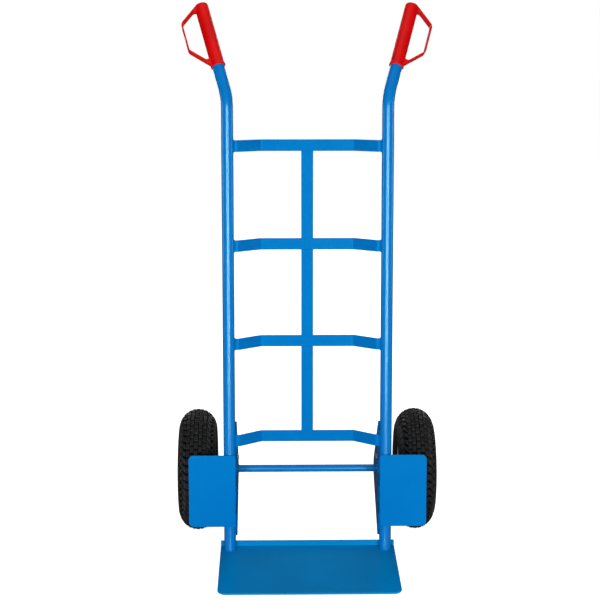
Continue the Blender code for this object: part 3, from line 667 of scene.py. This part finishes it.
def make_centre_bars():
    length = CROSSBAR_PITCH - CROSSBAR_HEIGHT
    half = CENTRE_BAR_WIDTH / 2
    outline = [(-half, -length / 2), (half, -length / 2), (half, length / 2), (-half, length / 2)]
    for i in range(CROSSBAR_COUNT - 1):
        middle = CROSSBAR_FIRST + (i + 0.5) * CROSSBAR_PITCH
        place = LEAN_BACK @ Matrix.Translation((0, CROSSBAR_BOW, middle)) @ FACING_FRONT
        bm = slab([outline], BAR_THICKNESS, EDGE_ROUNDING / 2)
        name = f"centre_bar_{i + 1}"
        finished(name + "_bar", bm, PAINT, "frame", [name], place, flat=True)


def make_toe_plate():
    """Floor sheet with rounded front corners, bent up behind the rails at their lean."""
    half = PLATE_THICKNESS / 2
    lean = Vector((math.sin(LEAN), math.cos(LEAN)))
    behind = Vector((lean.y, -lean.x)) * UPSTAND_BEHIND
    corner = behind + lean * ((half - behind.y) / lean.y)
    turn = math.pi / 2 - LEAN
    tangent = PLATE_BEND_RADIUS * math.tan(turn / 2)
    start = corner.x - tangent
    arc = PLATE_BEND_RADIUS * turn
    end = start + arc + UPSTAND_HEIGHT - tangent
    side, front, back = PLATE_WIDTH / 2, PLATE_CORNER_RADIUS, 0.0015
    outline = rounded(
        [(-side, -PLATE_REACH), (side, -PLATE_REACH), (side, end), (-side, end)],
        [front, front, back, back],
    )
    bm = slab([outline], PLATE_THICKNESS)
    steps = 8
    for i in range(steps + 1):
        cut = (0, start + arc * i / steps, 0)
        everything = bm.verts[:] + bm.edges[:] + bm.faces[:]
        bmesh.ops.bisect_plane(bm, geom=everything, plane_co=cut, plane_no=(0, 1, 0))
    for vert in bm.verts:
        along, height = vert.co.y, vert.co.z
        bend = min(max((along - start) / PLATE_BEND_RADIUS, 0.0), turn)
        past = max(0.0, along - start - arc)
        radius = PLATE_BEND_RADIUS - height
        y = min(along, start) + radius * math.sin(bend) + past * math.cos(bend)
        z = PLATE_BEND_RADIUS - radius * math.cos(bend) + past * math.sin(bend)
        vert.co = (vert.co.x, y, z + half)
    finished("toe_plate_sheet", bm, PLATE_PAINT, "frame", ["toe_plate"], flat=True)


def circle(centre, radius, steps):
    turn = 2 * math.pi / steps
    x, y = centre
    return [(x + radius * math.cos(i * turn), y + radius * math.sin(i * turn)) for i in range(steps)]


def frame_place(back_y, up_z):
    """A world point across the truck's middle, as (back, up) in the upright frame."""
    point = LEAN_BACK.inverted() @ Vector((0, back_y, up_z))
    return point.y, point.z


def bracket_outline(axle):
    """Convex outline round three discs, as (back, up): top tip, bottom tip, axle nose."""
    tip = BRACKET_FRONT + BRACKET_TIP_RADIUS
    discs = [
        (tip, BRACKET_BOTTOM, BRACKET_TIP_RADIUS),
        (*axle, BRACKET_NOSE_RADIUS),
        (tip, BRACKET_TOP, BRACKET_TIP_RADIUS),
    ]
    steps = 16
    outline = []
    for i, (x, y, radius) in enumerate(discs):
        angles = []
        for before, after in ((discs[i - 1], discs[i]), (discs[i], discs[(i + 1) % 3])):
            run = Vector((after[0] - before[0], after[1] - before[1]))
            tilt = math.asin((before[2] - after[2]) / run.length)
            angles.append(math.atan2(run.y, run.x) - math.pi / 2 + tilt)
        sweep = (angles[1] - angles[0]) % (2 * math.pi)
        for j in range(steps + 1):
            angle = angles[0] + sweep * j / steps
            outline.append((x + radius * math.cos(angle), y + radius * math.sin(angle)))
    return outline


def make_bracket(side_name, side, axle):
    bm = slab([bracket_outline(axle)], BRACKET_THICKNESS, EDGE_ROUNDING / 2)
    middle = side * (BRACKET_OUTER_X - BRACKET_THICKNESS / 2)
    place = LEAN_BACK @ Matrix.Translation((middle, 0, 0)) @ FACING_SIDE
    name = side_name + "_axle_bracket"
    # The darker bracket paint is painted shade on the bracket's inner face.
    finished(name + "_sheet", bm, BRACKET_SHADE_PAINT, "frame", [name], place, flat=True)


def make_guard(side_name, side):
    inner, outer = side * (RAIL_X - TUBE_RADIUS), side * (RAIL_X - TUBE_RADIUS + GUARD_WIDTH)
    corners = [(inner, GUARD_LOW), (outer, GUARD_LOW), (outer, GUARD_HIGH), (inner, GUARD_HIGH)]
    by_rail, free = 0.002, GUARD_CORNER_RADIUS
    bm = slab([rounded(corners, [by_rail, free, free, by_rail])], GUARD_THICKNESS)
    ahead = -(TUBE_RADIUS + GAP + GUARD_THICKNESS / 2)
    place = LEAN_BACK @ Matrix.Translation((0, ahead, 0)) @ FACING_FRONT
    name = side_name + "_wheel_guard"
    finished(name + "_sheet", bm, PAINT, "frame", [name], place, flat=True)


def weld_crossbar_ends(bm, side):
    """A bead round each crossbar's end, where it meets the rail."""
    x = side * (RAIL_X - TUBE_RADIUS - WELD_SINK)
    for i in range(CROSSBAR_COUNT):
        middle = CROSSBAR_FIRST + i * CROSSBAR_PITCH
        low, high = middle - CROSSBAR_HEIGHT / 2, middle + CROSSBAR_HEIGHT / 2
        for back in (-WELD_SINK, BAR_THICKNESS + WELD_SINK):
            weld(bm, [(x, back, low), (x, back, high)], BAR_WELD)
        for height in (low, high):
            weld(bm, [(x, 0, height), (x, BAR_THICKNESS, height)], BAR_WELD)


def weld_bracket(bm, side):
    """Stitches down the bracket's front edge."""
    edge = side * (BRACKET_OUTER_X - BRACKET_THICKNESS / 2 + 0.001)
    back = BRACKET_FRONT - 0.0008
    for low in BRACKET_WELD_STARTS:
        weld(bm, [(edge, back, low), (edge, back, low + BRACKET_WELD_LENGTH)], BRACKET_WELD)


def weld_guard(bm, side):
    """Two pairs of stitches between the guard's back and the rail."""
    back = -TUBE_RADIUS - WELD_SINK
    for offset in (-GUARD_WELD_OFFSET, GUARD_WELD_OFFSET):
        x = side * RAIL_X + offset
        for low in (GUARD_LOW + 0.012, GUARD_HIGH - 0.042):
            weld(bm, [(x, back, low), (x, back, low + GUARD_WELD_LENGTH)], GUARD_WELD)


def weld_axle(bm, side, axle):
    """A ring on the bracket's inner face, where the axle passes it."""
    inner = side * (BRACKET_OUTER_X - BRACKET_THICKNESS)
    around = circle(axle, AXLE_RADIUS + 3 * WELD_SINK, 48)
    weld(bm, [(inner, back, up) for back, up in around], AXLE_WELD, True)


def weld_centre_bars(bm):
    """A bead across the back of each end of the centre bars."""
    half = CENTRE_BAR_WIDTH / 2 - 0.002
    back = CROSSBAR_BOW + BAR_THICKNESS / 2
    for i in range(CROSSBAR_COUNT - 1):
        low = CROSSBAR_FIRST + i * CROSSBAR_PITCH + CROSSBAR_HEIGHT / 2
        for height in (low, low + CROSSBAR_PITCH - CROSSBAR_HEIGHT):
            weld(bm, [(-half, back, height), (half, back, height)], BAR_WELD)


def weld_foot(bm, side):
    """A ring where the rail stands on the toe plate."""
    foot = LEAN_BACK @ Vector((side * RAIL_X, 0, PLATE_THICKNESS))
    around = circle((foot.x, foot.y), TUBE_RADIUS + 3 * WELD_SINK, TUBE_SIDES)
    weld(bm, [(x, y, PLATE_THICKNESS + GAP) for x, y in around], BAR_WELD, True)


def make_welds(axle):
    """Beads where the bars, brackets, guards, toe plate and axle meet the tubes."""
    bm = bmesh.new()
    for side in SIDES.values():
        weld_crossbar_ends(bm, side)
        weld_bracket(bm, side)
        weld_guard(bm, side)
        weld_axle(bm, side, axle)
    weld_centre_bars(bm)
    moved(bm, LEAN_BACK)
    for side in SIDES.values():
        weld_foot(bm, side)
    finished("frame_welds", bm, PAINT, "frame")


def button_head(radius, height, shank, length):
    """Screw with a domed head that has a hexagonal socket, above its own XY plane."""
    bm = bmesh.new()
    sides, steps = 24, 8
    socket, depth = radius * 0.42, height * 0.55
    angles = [2 * math.pi * i / sides for i in range(sides)]
    rings = []
    tip, chamfer = 0.0006, shank * 0.2
    profile = [(tip, -length), (shank - chamfer, -length), (shank, chamfer - length)]
    profile += [(shank, 0), (radius, 0)]
    top = math.acos(socket * 1.2 / radius)
    for i in range(steps + 1):
        angle = top * i / steps
        profile.append((radius * math.cos(angle), height * math.sin(angle)))
    for out, up in profile:
        rings.append(add_ring(bm, [(out * math.cos(a), out * math.sin(a), up) for a in angles]))
    for low in (rings[-1][0].co.z, height - depth):
        ring = []
        for a in angles:
            reach = socket * math.cos(math.pi / 6) / math.cos(a % (math.pi / 3) - math.pi / 6)
            ring.append((reach * math.cos(a), reach * math.sin(a), low))
        rings.append(add_ring(bm, ring))
    skin(bm, rings)
    return bm


def make_bracket_screw(side_name, side):
    bm = button_head(BOLT_HEAD_RADIUS, BOLT_HEAD_HEIGHT, BOLT_RADIUS, SCREW_LENGTH)
    inner = side * (BRACKET_OUTER_X - BRACKET_THICKNESS)
    turn = Matrix.Rotation(-side * math.pi / 2, 4, "Y")
    place = LEAN_BACK @ Matrix.Translation((inner, *BRACKET_SCREW)) @ turn
    name = side_name + "_bracket_screw"
    finished(name + "_head", bm, ZINC, "frame", [name], place, angle=50)


# ---- axle


def make_axle(centre, end_x):
    chamfer = 0.0012
    profile = [(0, end_x), (AXLE_RADIUS - chamfer, end_x), (AXLE_RADIUS, end_x - chamfer)]
    profile += [(radius, -height) for radius, height in reversed(profile)]
    place = Matrix.Translation((0, centre.y, centre.z)) @ Matrix.Rotation(math.pi / 2, 4, "Y")
    rod = lathe(profile, TUBE_SIDES)
    finished("axle_rod", rod, TUBE_PAINT, "frame", ["axle"], place, angle=30)


def make_axle_parts(side_name, side, centre):
    """Spacer, washer and cotter pin, each as long as its node and centred on it."""
    outward = Matrix.Rotation(side * math.pi / 2, 4, "Y")
    for part in ("spacer", "washer"):
        node = f"{side_name}_axle_{part}"
        low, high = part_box(node)
        length, radius = high.x - low.x, (high.z - low.z) / 2
        inner = AXLE_RADIUS + SLIDING_FIT / 2
        profile = [(inner, 0), (radius, 0), (radius, length), (inner, length)]
        start = low.x if side > 0 else high.x
        place = Matrix.Translation((start, centre.y, centre.z)) @ outward
        ring = lathe(profile, TUBE_SIDES)
        finished(f"{side_name}_{part}_ring", ring, ZINC, "frame", [node], place, 0.0004)
    low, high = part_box(side_name + "_cotter_pin")
    make_cotter(side_name, (low.x + high.x) / 2, (high.x - low.x) / 2, centre, high.z)


def make_cotter(side_name, x, half_width, centre, top):
    """Split pin with two legs, a round eye above the axle and its ends bent apart."""
    wire, leg, spread, below = 0.0007, 0.0009, 0.0014, 0.0025
    eye = half_width - wire
    middle = top - wire - eye
    low = centre.z - AXLE_RADIUS - below
    opening = math.asin(leg / eye)
    steps = 28
    points = [(x - leg - spread, centre.y, low - spread), (x - leg, centre.y, low)]
    for i in range(steps + 1):
        angle = -math.pi / 2 - opening - (2 * math.pi - 2 * opening) * i / steps
        points.append((x + eye * math.cos(angle), centre.y, middle + eye * math.sin(angle)))
    points += [(x + leg, centre.y, low), (x + leg + spread, centre.y, low - spread)]
    name = side_name + "_cotter_pin"
    finished(name + "_wire", tube(points, wire, 12), ZINC, "frame", [name])


# ---- wheels
# A wheel is made about its own Z, which points out along the axle, and then put in place.


def section_point(across, depth):
    """(radius, height) of the tyre's section at an angle from its crown, below its surface."""
    out = SECTION_CENTRE + (SECTION_RADIUS - depth) * math.cos(across)
    return out, (TYRE_HALF_WIDTH - depth) * math.sin(across)


def smooth_step(value, low, high):
    share = min(max((value - low) / (high - low), 0.0), 1.0)
    return share * share * (3 - 2 * share)


def carcass_depth(across):
    """How far the bare tyre lies inside its outline: the tread's depth, then ribbed sidewalls."""
    angle = math.degrees(abs(across))
    depth = TREAD_DEPTH * (1 - smooth_step(angle, 60, 70)) + 0.0002
    for rib in SIDEWALL_RIBS:
        depth -= RIB_HEIGHT * max(0.0, 1 - abs(angle - rib) / RIB_HALF_ANGLE)
    return depth


def make_tyre_body(wheel, place):
    """Hollow tyre, open between its beads, with its tread and ribbed sidewalls."""
    outer = []
    for i in range(OUTER_STEPS + 1):
        across = SECTION_REACH * (1 - 2 * i / OUTER_STEPS)
        outer.append(section_point(across, carcass_depth(across)))
    inner = []
    for i in range(INNER_STEPS + 1):
        across = -SECTION_REACH * (1 - 2 * i / INNER_STEPS)
        inner.append(section_point(across, TYRE_WALL))
    near, far = BEAD_SPAN
    low_bead = [(BEAD_RADIUS, -far), (BEAD_RADIUS, -near)]
    high_bead = [(BEAD_RADIUS, near), (BEAD_RADIUS, far)]
    bm = lathe(outer + low_bead + inner + high_bead, TYRE_STEPS)
    # Faces outside the sidewall radius keep the darker first rubber, which is painted shade in the
    # grooves. The sidewalls take the tread rubber.
    for face in bm.faces:
        if face.calc_center_median().xy.length < SIDEWALL_RADIUS:
            face.material_index = 1
    add_tread(bm)
    name, rubbers = wheel + "_tyre", (GROOVE_SHADE_RUBBER, BLOCK_RUBBER)
    finished(name + "_rubber", bm, rubbers, wheel, [name], place, angle=32)


def add_block(bm, around, across, half_length, half_angle, skew):
    """One tread block on the tyre, at this angle round the wheel and across its crown."""
    corner = 1 - BLOCK_CORNER
    outline = []
    for u, v in ((-1, -1), (1, -1), (1, 1), (-1, 1)):
        outline += [(u * corner, v), (u, v * corner)]
    outline.sort(key=lambda point: math.atan2(point[1], point[0]))
    base = TREAD_DEPTH + BLOCK_FOOT
    rings = []
    for grow, depth in ((BLOCK_FOOT, base), (0.0, BLOCK_ROUNDING), (-BLOCK_ROUNDING, 0.0)):
        length = half_length + grow
        width = half_angle + grow / SECTION_RADIUS
        ring = []
        for u, v in outline:
            angle = across + v * width
            radius = section_point(angle, 0.0)[0]
            turn = around + (u * length + skew * v) / radius
            out, height = section_point(angle, depth)
            ring.append((out * math.cos(turn), out * math.sin(turn), height))
        rings.append(add_ring(bm, ring))
    skin(bm, rings)
    for vert in sum(rings, []):
        for face in vert.link_faces:
            face.material_index = 1


def add_tread(bm):
    """Five staggered columns of blocks, slanted shoulder blocks and lugs down the sidewalls."""
    pitch = 2 * math.pi / TREAD_ROWS
    for row in range(TREAD_ROWS):
        for column in TREAD_COLUMNS:
            shift = 0.5 if column % 2 else 0.0
            add_block(bm, (row + shift) * pitch, column * COLUMN_STEP, *MIDDLE_BLOCK)
        for side in (-1, 1):
            add_block(bm, (row + 0.25) * pitch, side * SHOULDER_ANGLE, *SHOULDER_BLOCK)
            add_block(bm, (row + 0.75) * pitch, side * LUG_ANGLE, *LUG_BLOCK)


def rim_line():
    """Middle of a pressed rim half: disc with a raised ring, seat and flange, as (radius, height)."""
    start = (HUB_RADIUS, RIM_DISC_OFFSET)
    dish = (RIM_SEAT_RADIUS, RIM_DISC_OFFSET)
    lip = (RIM_SEAT_RADIUS, RIM_FLANGE_OFFSET)
    end = (RIM_FLANGE_RADIUS, RIM_FLANGE_OFFSET)
    inner, outer = RIM_RING
    top = RIM_DISC_OFFSET + RIM_RING_RISE
    ring = [(inner, RIM_DISC_OFFSET), (inner + RIM_RING_SLOPE, top)]
    ring += [(outer - RIM_RING_SLOPE, top), (outer, RIM_DISC_OFFSET)]
    line = [Vector(start), *map(Vector, ring)]
    line += arc_between(start, dish, lip, RIM_DISH_BEND, 8)
    line += arc_between(dish, lip, end, RIM_LIP_BEND, 6)
    return line + [Vector(end)]


def make_rims(wheel, place):
    for half_name, outward in (("outer", 1), ("inner", -1)):
        outline = thick_line(rim_line(), RIM_SHEET)
        profile = [(point.x, outward * point.y) for point in outline]
        name = f"{wheel}_{half_name}_rim_half"
        rim = lathe(profile, ROUND_STEPS)
        finished(name + "_steel", rim, ENAMEL, wheel, [name], place, 0.0005)


def make_hub(wheel, place):
    half, seat = HUB_LENGTH / 2, BEARING_RADIUS + SLIDING_FIT
    shoulder = half - BEARING_WIDTH - GAP
    upper = [(HUB_BORE_RADIUS, shoulder), (seat, shoulder), (seat, half), (HUB_RADIUS, half)]
    profile = upper + [(radius, -height) for radius, height in reversed(upper)]
    bm = lathe(profile, ROUND_STEPS)
    around = circle((0, 0), HUB_RADIUS + GAP, 72)
    for height in (HUB_WELD_HEIGHT, -HUB_WELD_HEIGHT):
        weld(bm, [(x, y, height) for x, y in around], HUB_WELD, True)
    name = wheel + "_hub"
    finished(name + "_sleeve", bm, ENAMEL, wheel, [name], place, angle=30)


def make_bearings(wheel, place):
    half, sunk = BEARING_WIDTH / 2, BEARING_WIDTH / 2 - SHIELD_DEPTH
    low, high = BEARING_SHIELD
    bevel = 0.0002
    face = [(AXLE_RADIUS + SLIDING_FIT, half), (low, half), (low + bevel, sunk)]
    face += [(high - bevel, sunk), (high, half), (BEARING_RADIUS, half)]
    profile = face + [(radius, -height) for radius, height in reversed(face)]
    for end_name, outward in (("outer", 1), ("inner", -1)):
        middle = Matrix.Translation((0, 0, outward * (HUB_LENGTH / 2 - half)))
        name = f"{wheel}_{end_name}_bearing"
        race = lathe(profile, 72)
        finished(name + "_race", race, STEEL, wheel, [name], place @ middle, angle=30)


def make_rim_bolts(wheel, place):
    face = RIM_DISC_OFFSET + RIM_RING_RISE + RIM_SHEET / 2
    for i in range(4):
        angle = FIRST_BOLT + math.pi / 2 * i
        at = Vector((math.cos(angle), math.sin(angle), 0)) * BOLT_CIRCLE
        bolt = button_head(BOLT_HEAD_RADIUS, BOLT_HEAD_HEIGHT, BOLT_RADIUS, BOLT_LENGTH)
        name = f"{wheel}_rim_bolt_{i + 1}"
        there = place @ Matrix.Translation((at.x, at.y, face))
        finished(name + "_head", bolt, ZINC, wheel, [name], there, angle=50)
        sides = [circle((0, 0), NUT_RADIUS, 6), circle((0, 0), BOLT_RADIUS + SLIDING_FIT / 2, 24)]
        name = f"{wheel}_rim_nut_{i + 1}"
        there = place @ Matrix.Translation((at.x, at.y, -face - NUT_HEIGHT / 2))
        nut = slab(sides, NUT_HEIGHT, 0.0004)
        finished(name + "_hex", nut, ZINC, wheel, [name], there, flat=True)


def make_valve(wheel, place):
    """Rubber stem out of the rim's seat, with a ribbed cap."""
    start, corner = (VALVE_ROOT, 0, VALVE_OFFSET), (VALVE_DISTANCE, 0, VALVE_OFFSET)
    end = (VALVE_DISTANCE, 0, VALVE_REACH - 0.004)
    line = [start, *arc_between(start, corner, end, VALVE_BEND, 8), end]
    bm = tube(line, VALVE_RADIUS * 0.86, 24)
    points, rings = 64, []
    low, high = VALVE_REACH - VALVE_CAP_LENGTH, VALVE_REACH
    profile = [(0.8, low), (1.0, low + 0.0006), (1.0, high - 0.0016), (0.62, high)]
    for share, height in profile:
        ring = []
        for j in range(points):
            angle = 2 * math.pi * j / points
            rib = 1.0 if j % 4 < 2 else 0.92
            radius = (VALVE_RADIUS + VALVE_CAP_SWELL) * share * rib
            x, y = VALVE_DISTANCE + radius * math.cos(angle), radius * math.sin(angle)
            ring.append((x, y, height))
        rings.append(add_ring(bm, ring))
    skin(bm, rings)
    turn = Matrix.Rotation(FIRST_BOLT + math.pi / 4, 4, "Z")
    name = wheel + "_valve_stem"
    finished(name + "_cap", bm, TUBE_RUBBER, wheel, [name], place @ turn, angle=35)


def make_wheel(side_name, side):
    wheel = side_name + "_wheel"
    low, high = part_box(wheel + "_tyre")
    centre = (low + high) / 2
    centre.z = TYRE_RADIUS
    place = Matrix.Translation(centre) @ Matrix.Rotation(side * math.pi / 2, 4, "Y")
    make_tyre_body(wheel, place)
    make_rims(wheel, place)
    make_hub(wheel, place)
    make_bearings(wheel, place)
    make_rim_bolts(wheel, place)
    make_valve(wheel, place)
    tube_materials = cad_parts[wheel + "_inner_tube"].data.materials
    tube_materials.clear()
    tube_materials.append(TUBE_RUBBER)


# ---- grips


def grip_place(side_name, side):
    """Its X points outwards and its Z up the handle, from the cap's top."""
    up = handle_direction(side)
    across = Vector((side, 0, 0))
    outwards = (across - up * across.dot(up)).normalized()
    axes = Matrix((outwards, up.cross(outwards), up)).transposed()
    turned = (Matrix.Rotation(GRIP_TURN[side_name], 3, up) @ axes).to_4x4()
    corner = Vector((side * RAIL_X, 0, HANDLE_BEND_HEIGHT))
    top = corner + up * (HANDLE_LENGTH + GRIP_CAP_HEIGHT + GAP)
    return LEAN_BACK @ Matrix.Translation(top) @ turned


def grip_sleeve():
    outer = TUBE_RADIUS + GAP + GRIP_WALL
    low = -GRIP_LENGTH
    edge = arc_between((0, 0), (outer, -0.001), (outer, low), GRIP_CAP_BEND, 10)
    profile = [(0, 0), *((p.x, p.y) for p in edge)]
    profile += [(outer + out, low + up) for out, up in GRIP_LIP]
    return lathe(profile + [(0, low)], ROUND_STEPS)


def loop_band():
    """The guard loop with fillets where it joins the sleeve, as a slab in (outwards, up)."""
    top, high, low, bottom = (-share * GRIP_LENGTH for share in LOOP_SHARES)
    reach = LOOP_REACH - LOOP_THICKNESS / 2
    middle = [(LOOP_ROOT_CENTRE, top), (reach, high), (reach, low), (LOOP_ROOT_CENTRE, bottom)]
    strip = thick_line(middle, LOOP_THICKNESS)
    sides = (strip[:4], strip[4:][::-1])
    outer, inner = sorted(sides, key=lambda side: -side[1].x)
    corners = [(LOOP_ROOT, outer[0].y), *outer, (LOOP_ROOT, outer[3].y)]
    outline = rounded(corners, [0, 0, LOOP_OUTER_RADIUS, LOOP_OUTER_RADIUS, 0, 0])
    corners = [(LOOP_HOLE_ROOT, inner[0].y), *inner[1:3], (LOOP_HOLE_ROOT, inner[3].y)]
    hole = rounded(corners, [LOOP_FILLET, LOOP_INNER_RADIUS, LOOP_INNER_RADIUS, LOOP_FILLET])
    return outline, hole


def helper(bm, name):
    """A solid that takes part in a Boolean and is then removed."""
    mesh = bpy.data.meshes.new(name)
    bmesh.ops.recalc_face_normals(bm, faces=bm.faces)
    bm.to_mesh(mesh)
    bm.free()
    return in_scene(name, mesh)


def make_grip(side_name, side):
    """Sleeve and loop united, with the handle's bore taken out."""
    outline, hole = loop_band()
    band = slab([outline, hole], LOOP_WIDTH, LOOP_EDGE)
    moved(band, FACING_FRONT)
    base = helper(band, "grip_band")
    sleeve = helper(grip_sleeve(), "grip_sleeve")
    cap, end = -GRIP_CAP_HEIGHT, -1.0
    bore_profile = [(0, cap), (TUBE_RADIUS, cap), (TUBE_RADIUS, end), (0, end)]
    bore = helper(lathe(bore_profile, ROUND_STEPS), "grip_bore")
    for other, operation in ((sleeve, "UNION"), (bore, "DIFFERENCE")):
        modifier = base.modifiers.new(operation.lower(), "BOOLEAN")
        modifier.operation = operation
        modifier.object = other
    graph = bpy.context.evaluated_depsgraph_get()
    bm = bmesh.new()
    bm.from_object(base, graph)
    for solid in (base, sleeve, bore):
        bpy.data.objects.remove(solid, do_unlink=True)
    name = side_name + "_grip"
    place = grip_place(side_name, side)
    finished(name + "_moulding", bm, VINYL, "frame", [name], place)


# ---- stage


def make_floor():
    bm = bmesh.new()
    edge = circle((0, 0), FLOOR_RADIUS, ROUND_STEPS)
    bm.faces.new(add_ring(bm, [(x, y, FLOOR_HEIGHT) for x, y in edge]))
    mesh = bpy.data.meshes.new("studio_floor")
    bm.to_mesh(mesh)
    bm.free()
    material, tree, shader = new_material("studio_floor")
    path = tree.nodes.new("ShaderNodeLightPath")
    mirrored = mixed(tree, path.outputs["Is Glossy Ray"], (0.80, 0.80, 0.80), (0.08, 0.08, 0.08))
    link(tree, mirrored, shader.inputs["Base Color"])
    shader.inputs["Roughness"].default_value = 0.9
    shader.inputs["Specular IOR Level"].default_value = 0.0
    shader.inputs["Emission Color"].default_value = (1.0, 1.0, 1.0, 1.0)
    glow = maths(tree, "MULTIPLY", path.outputs["Is Camera Ray"], 0.85)
    link(tree, glow, shader.inputs["Emission Strength"])
    mesh.materials.append(material)
    in_scene("studio_floor", mesh)


def add_light(name, location, target, size, power, mirrored=False):
    """A soft box; only a mirrored one shows as a highlight on the paint."""
    data = bpy.data.lights.new(name, "AREA")
    data.shape = "RECTANGLE"
    data.size, data.size_y = size
    data.energy = power
    light = in_scene(name, data)
    light.location = location
    aim = Vector(target) - Vector(location)
    light.rotation_euler = aim.to_track_quat("-Z", "Y").to_euler()
    light.visible_glossy = mirrored


def make_lights():
    """Low frontal key, two tall strips that the tubes mirror, and weaker boxes all round."""
    add_light("key_box", (0, -3.2, 0.9), (0, 0, 0.45), (1.2, 0.8), 20.0)
    for name, side in SIDES.items():
        place, aim = (side * 0.70, -3.1, 0.76), (side * 0.1, 0, 0.66)
        add_light(name + "_strip", place, aim, (0.2, 1.5), 41.0, True)
        place, aim = (side * 3.2, 0.4, 0.6), (side * 0.25, 0.1, 0.2)
        add_light(name + "_side_box", place, aim, (1.2, 0.8), 7.0, True)
        place = (side * 1.3, 3.0, 1.2)
        add_light(name + "_rear_strip", place, (0, 0, 0.5), (0.3, 1.6), 10.0, True)
    add_light("top_box", (0, 0.2, 3.2), (0, 0, 0), (2.2, 2.2), 24.0)
    add_light("back_box", (0.4, 2.6, 3.0), (0, 0, 0.5), (1.6, 1.6), 26.0)


def make_world():
    """White to the camera; to the object a soft dome that is dimmer at the sides."""
    world = bpy.data.worlds.new("studio_dome")
    bpy.context.scene.world = world
    world.use_nodes = True
    tree = world.node_tree
    back = tree.nodes["Background"]
    where = tree.nodes.new("ShaderNodeTexCoord").outputs["Generated"]
    split = tree.nodes.new("ShaderNodeSeparateXYZ")
    link(tree, where, split.inputs["Vector"])
    sideways = maths(tree, "ABSOLUTE", split.outputs["X"], 0.0)
    dome = remap(tree, sideways, 0.45, 0.85, 0.21, 0.08)
    path = tree.nodes.new("ShaderNodeLightPath")
    dulled = remap(tree, path.outputs["Is Glossy Ray"], 0.0, 1.0, 1.0, 0.2)
    dome = maths(tree, "MULTIPLY", dome, dulled)
    strength = maths(tree, "MAXIMUM", dome, path.outputs["Is Camera Ray"])
    back.inputs["Color"].default_value = (1.0, 1.0, 1.0, 1.0)
    link(tree, strength, back.inputs["Strength"])


def make_camera():
    yaw, pitch, roll = CAMERA_YAW, CAMERA_PITCH, CAMERA_ROLL
    level = math.cos(pitch)
    forward = Vector((math.sin(yaw) * level, math.cos(yaw) * level, -math.sin(pitch)))
    flat_right = Vector((math.cos(yaw), -math.sin(yaw), 0))
    flat_up = flat_right.cross(forward)
    right = flat_right * math.cos(roll) + flat_up * math.sin(roll)
    up = flat_up * math.cos(roll) - flat_right * math.sin(roll)
    data = bpy.data.cameras.new("front_camera")
    data.lens = CAMERA_LENS
    data.sensor_width = 36.0
    camera = in_scene("front_camera", data)
    turn = Matrix((right, up, -forward)).transposed().to_4x4()
    camera.matrix_world = Matrix.Translation(CAMERA_PLACE) @ turn
    bpy.context.scene.camera = camera


# ---- assembly


def build():
    low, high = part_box("axle")
    axle_centre = (low + high) / 2
    axle = frame_place(axle_centre.y, axle_centre.z)
    make_crossbars()
    make_centre_bars()
    make_toe_plate()
    make_welds(axle)
    make_axle(axle_centre, high.x)
    for side_name, side in SIDES.items():
        make_rail(side_name, side)
        make_bracket(side_name, side, axle)
        make_bracket_screw(side_name, side)
        make_guard(side_name, side)
        make_axle_parts(side_name, side, axle_centre)
        make_wheel(side_name, side)
        make_grip(side_name, side)


build()
make_floor()
make_lights()
make_world()
make_camera()
bpy.context.scene.view_settings.view_transform = "Standard"
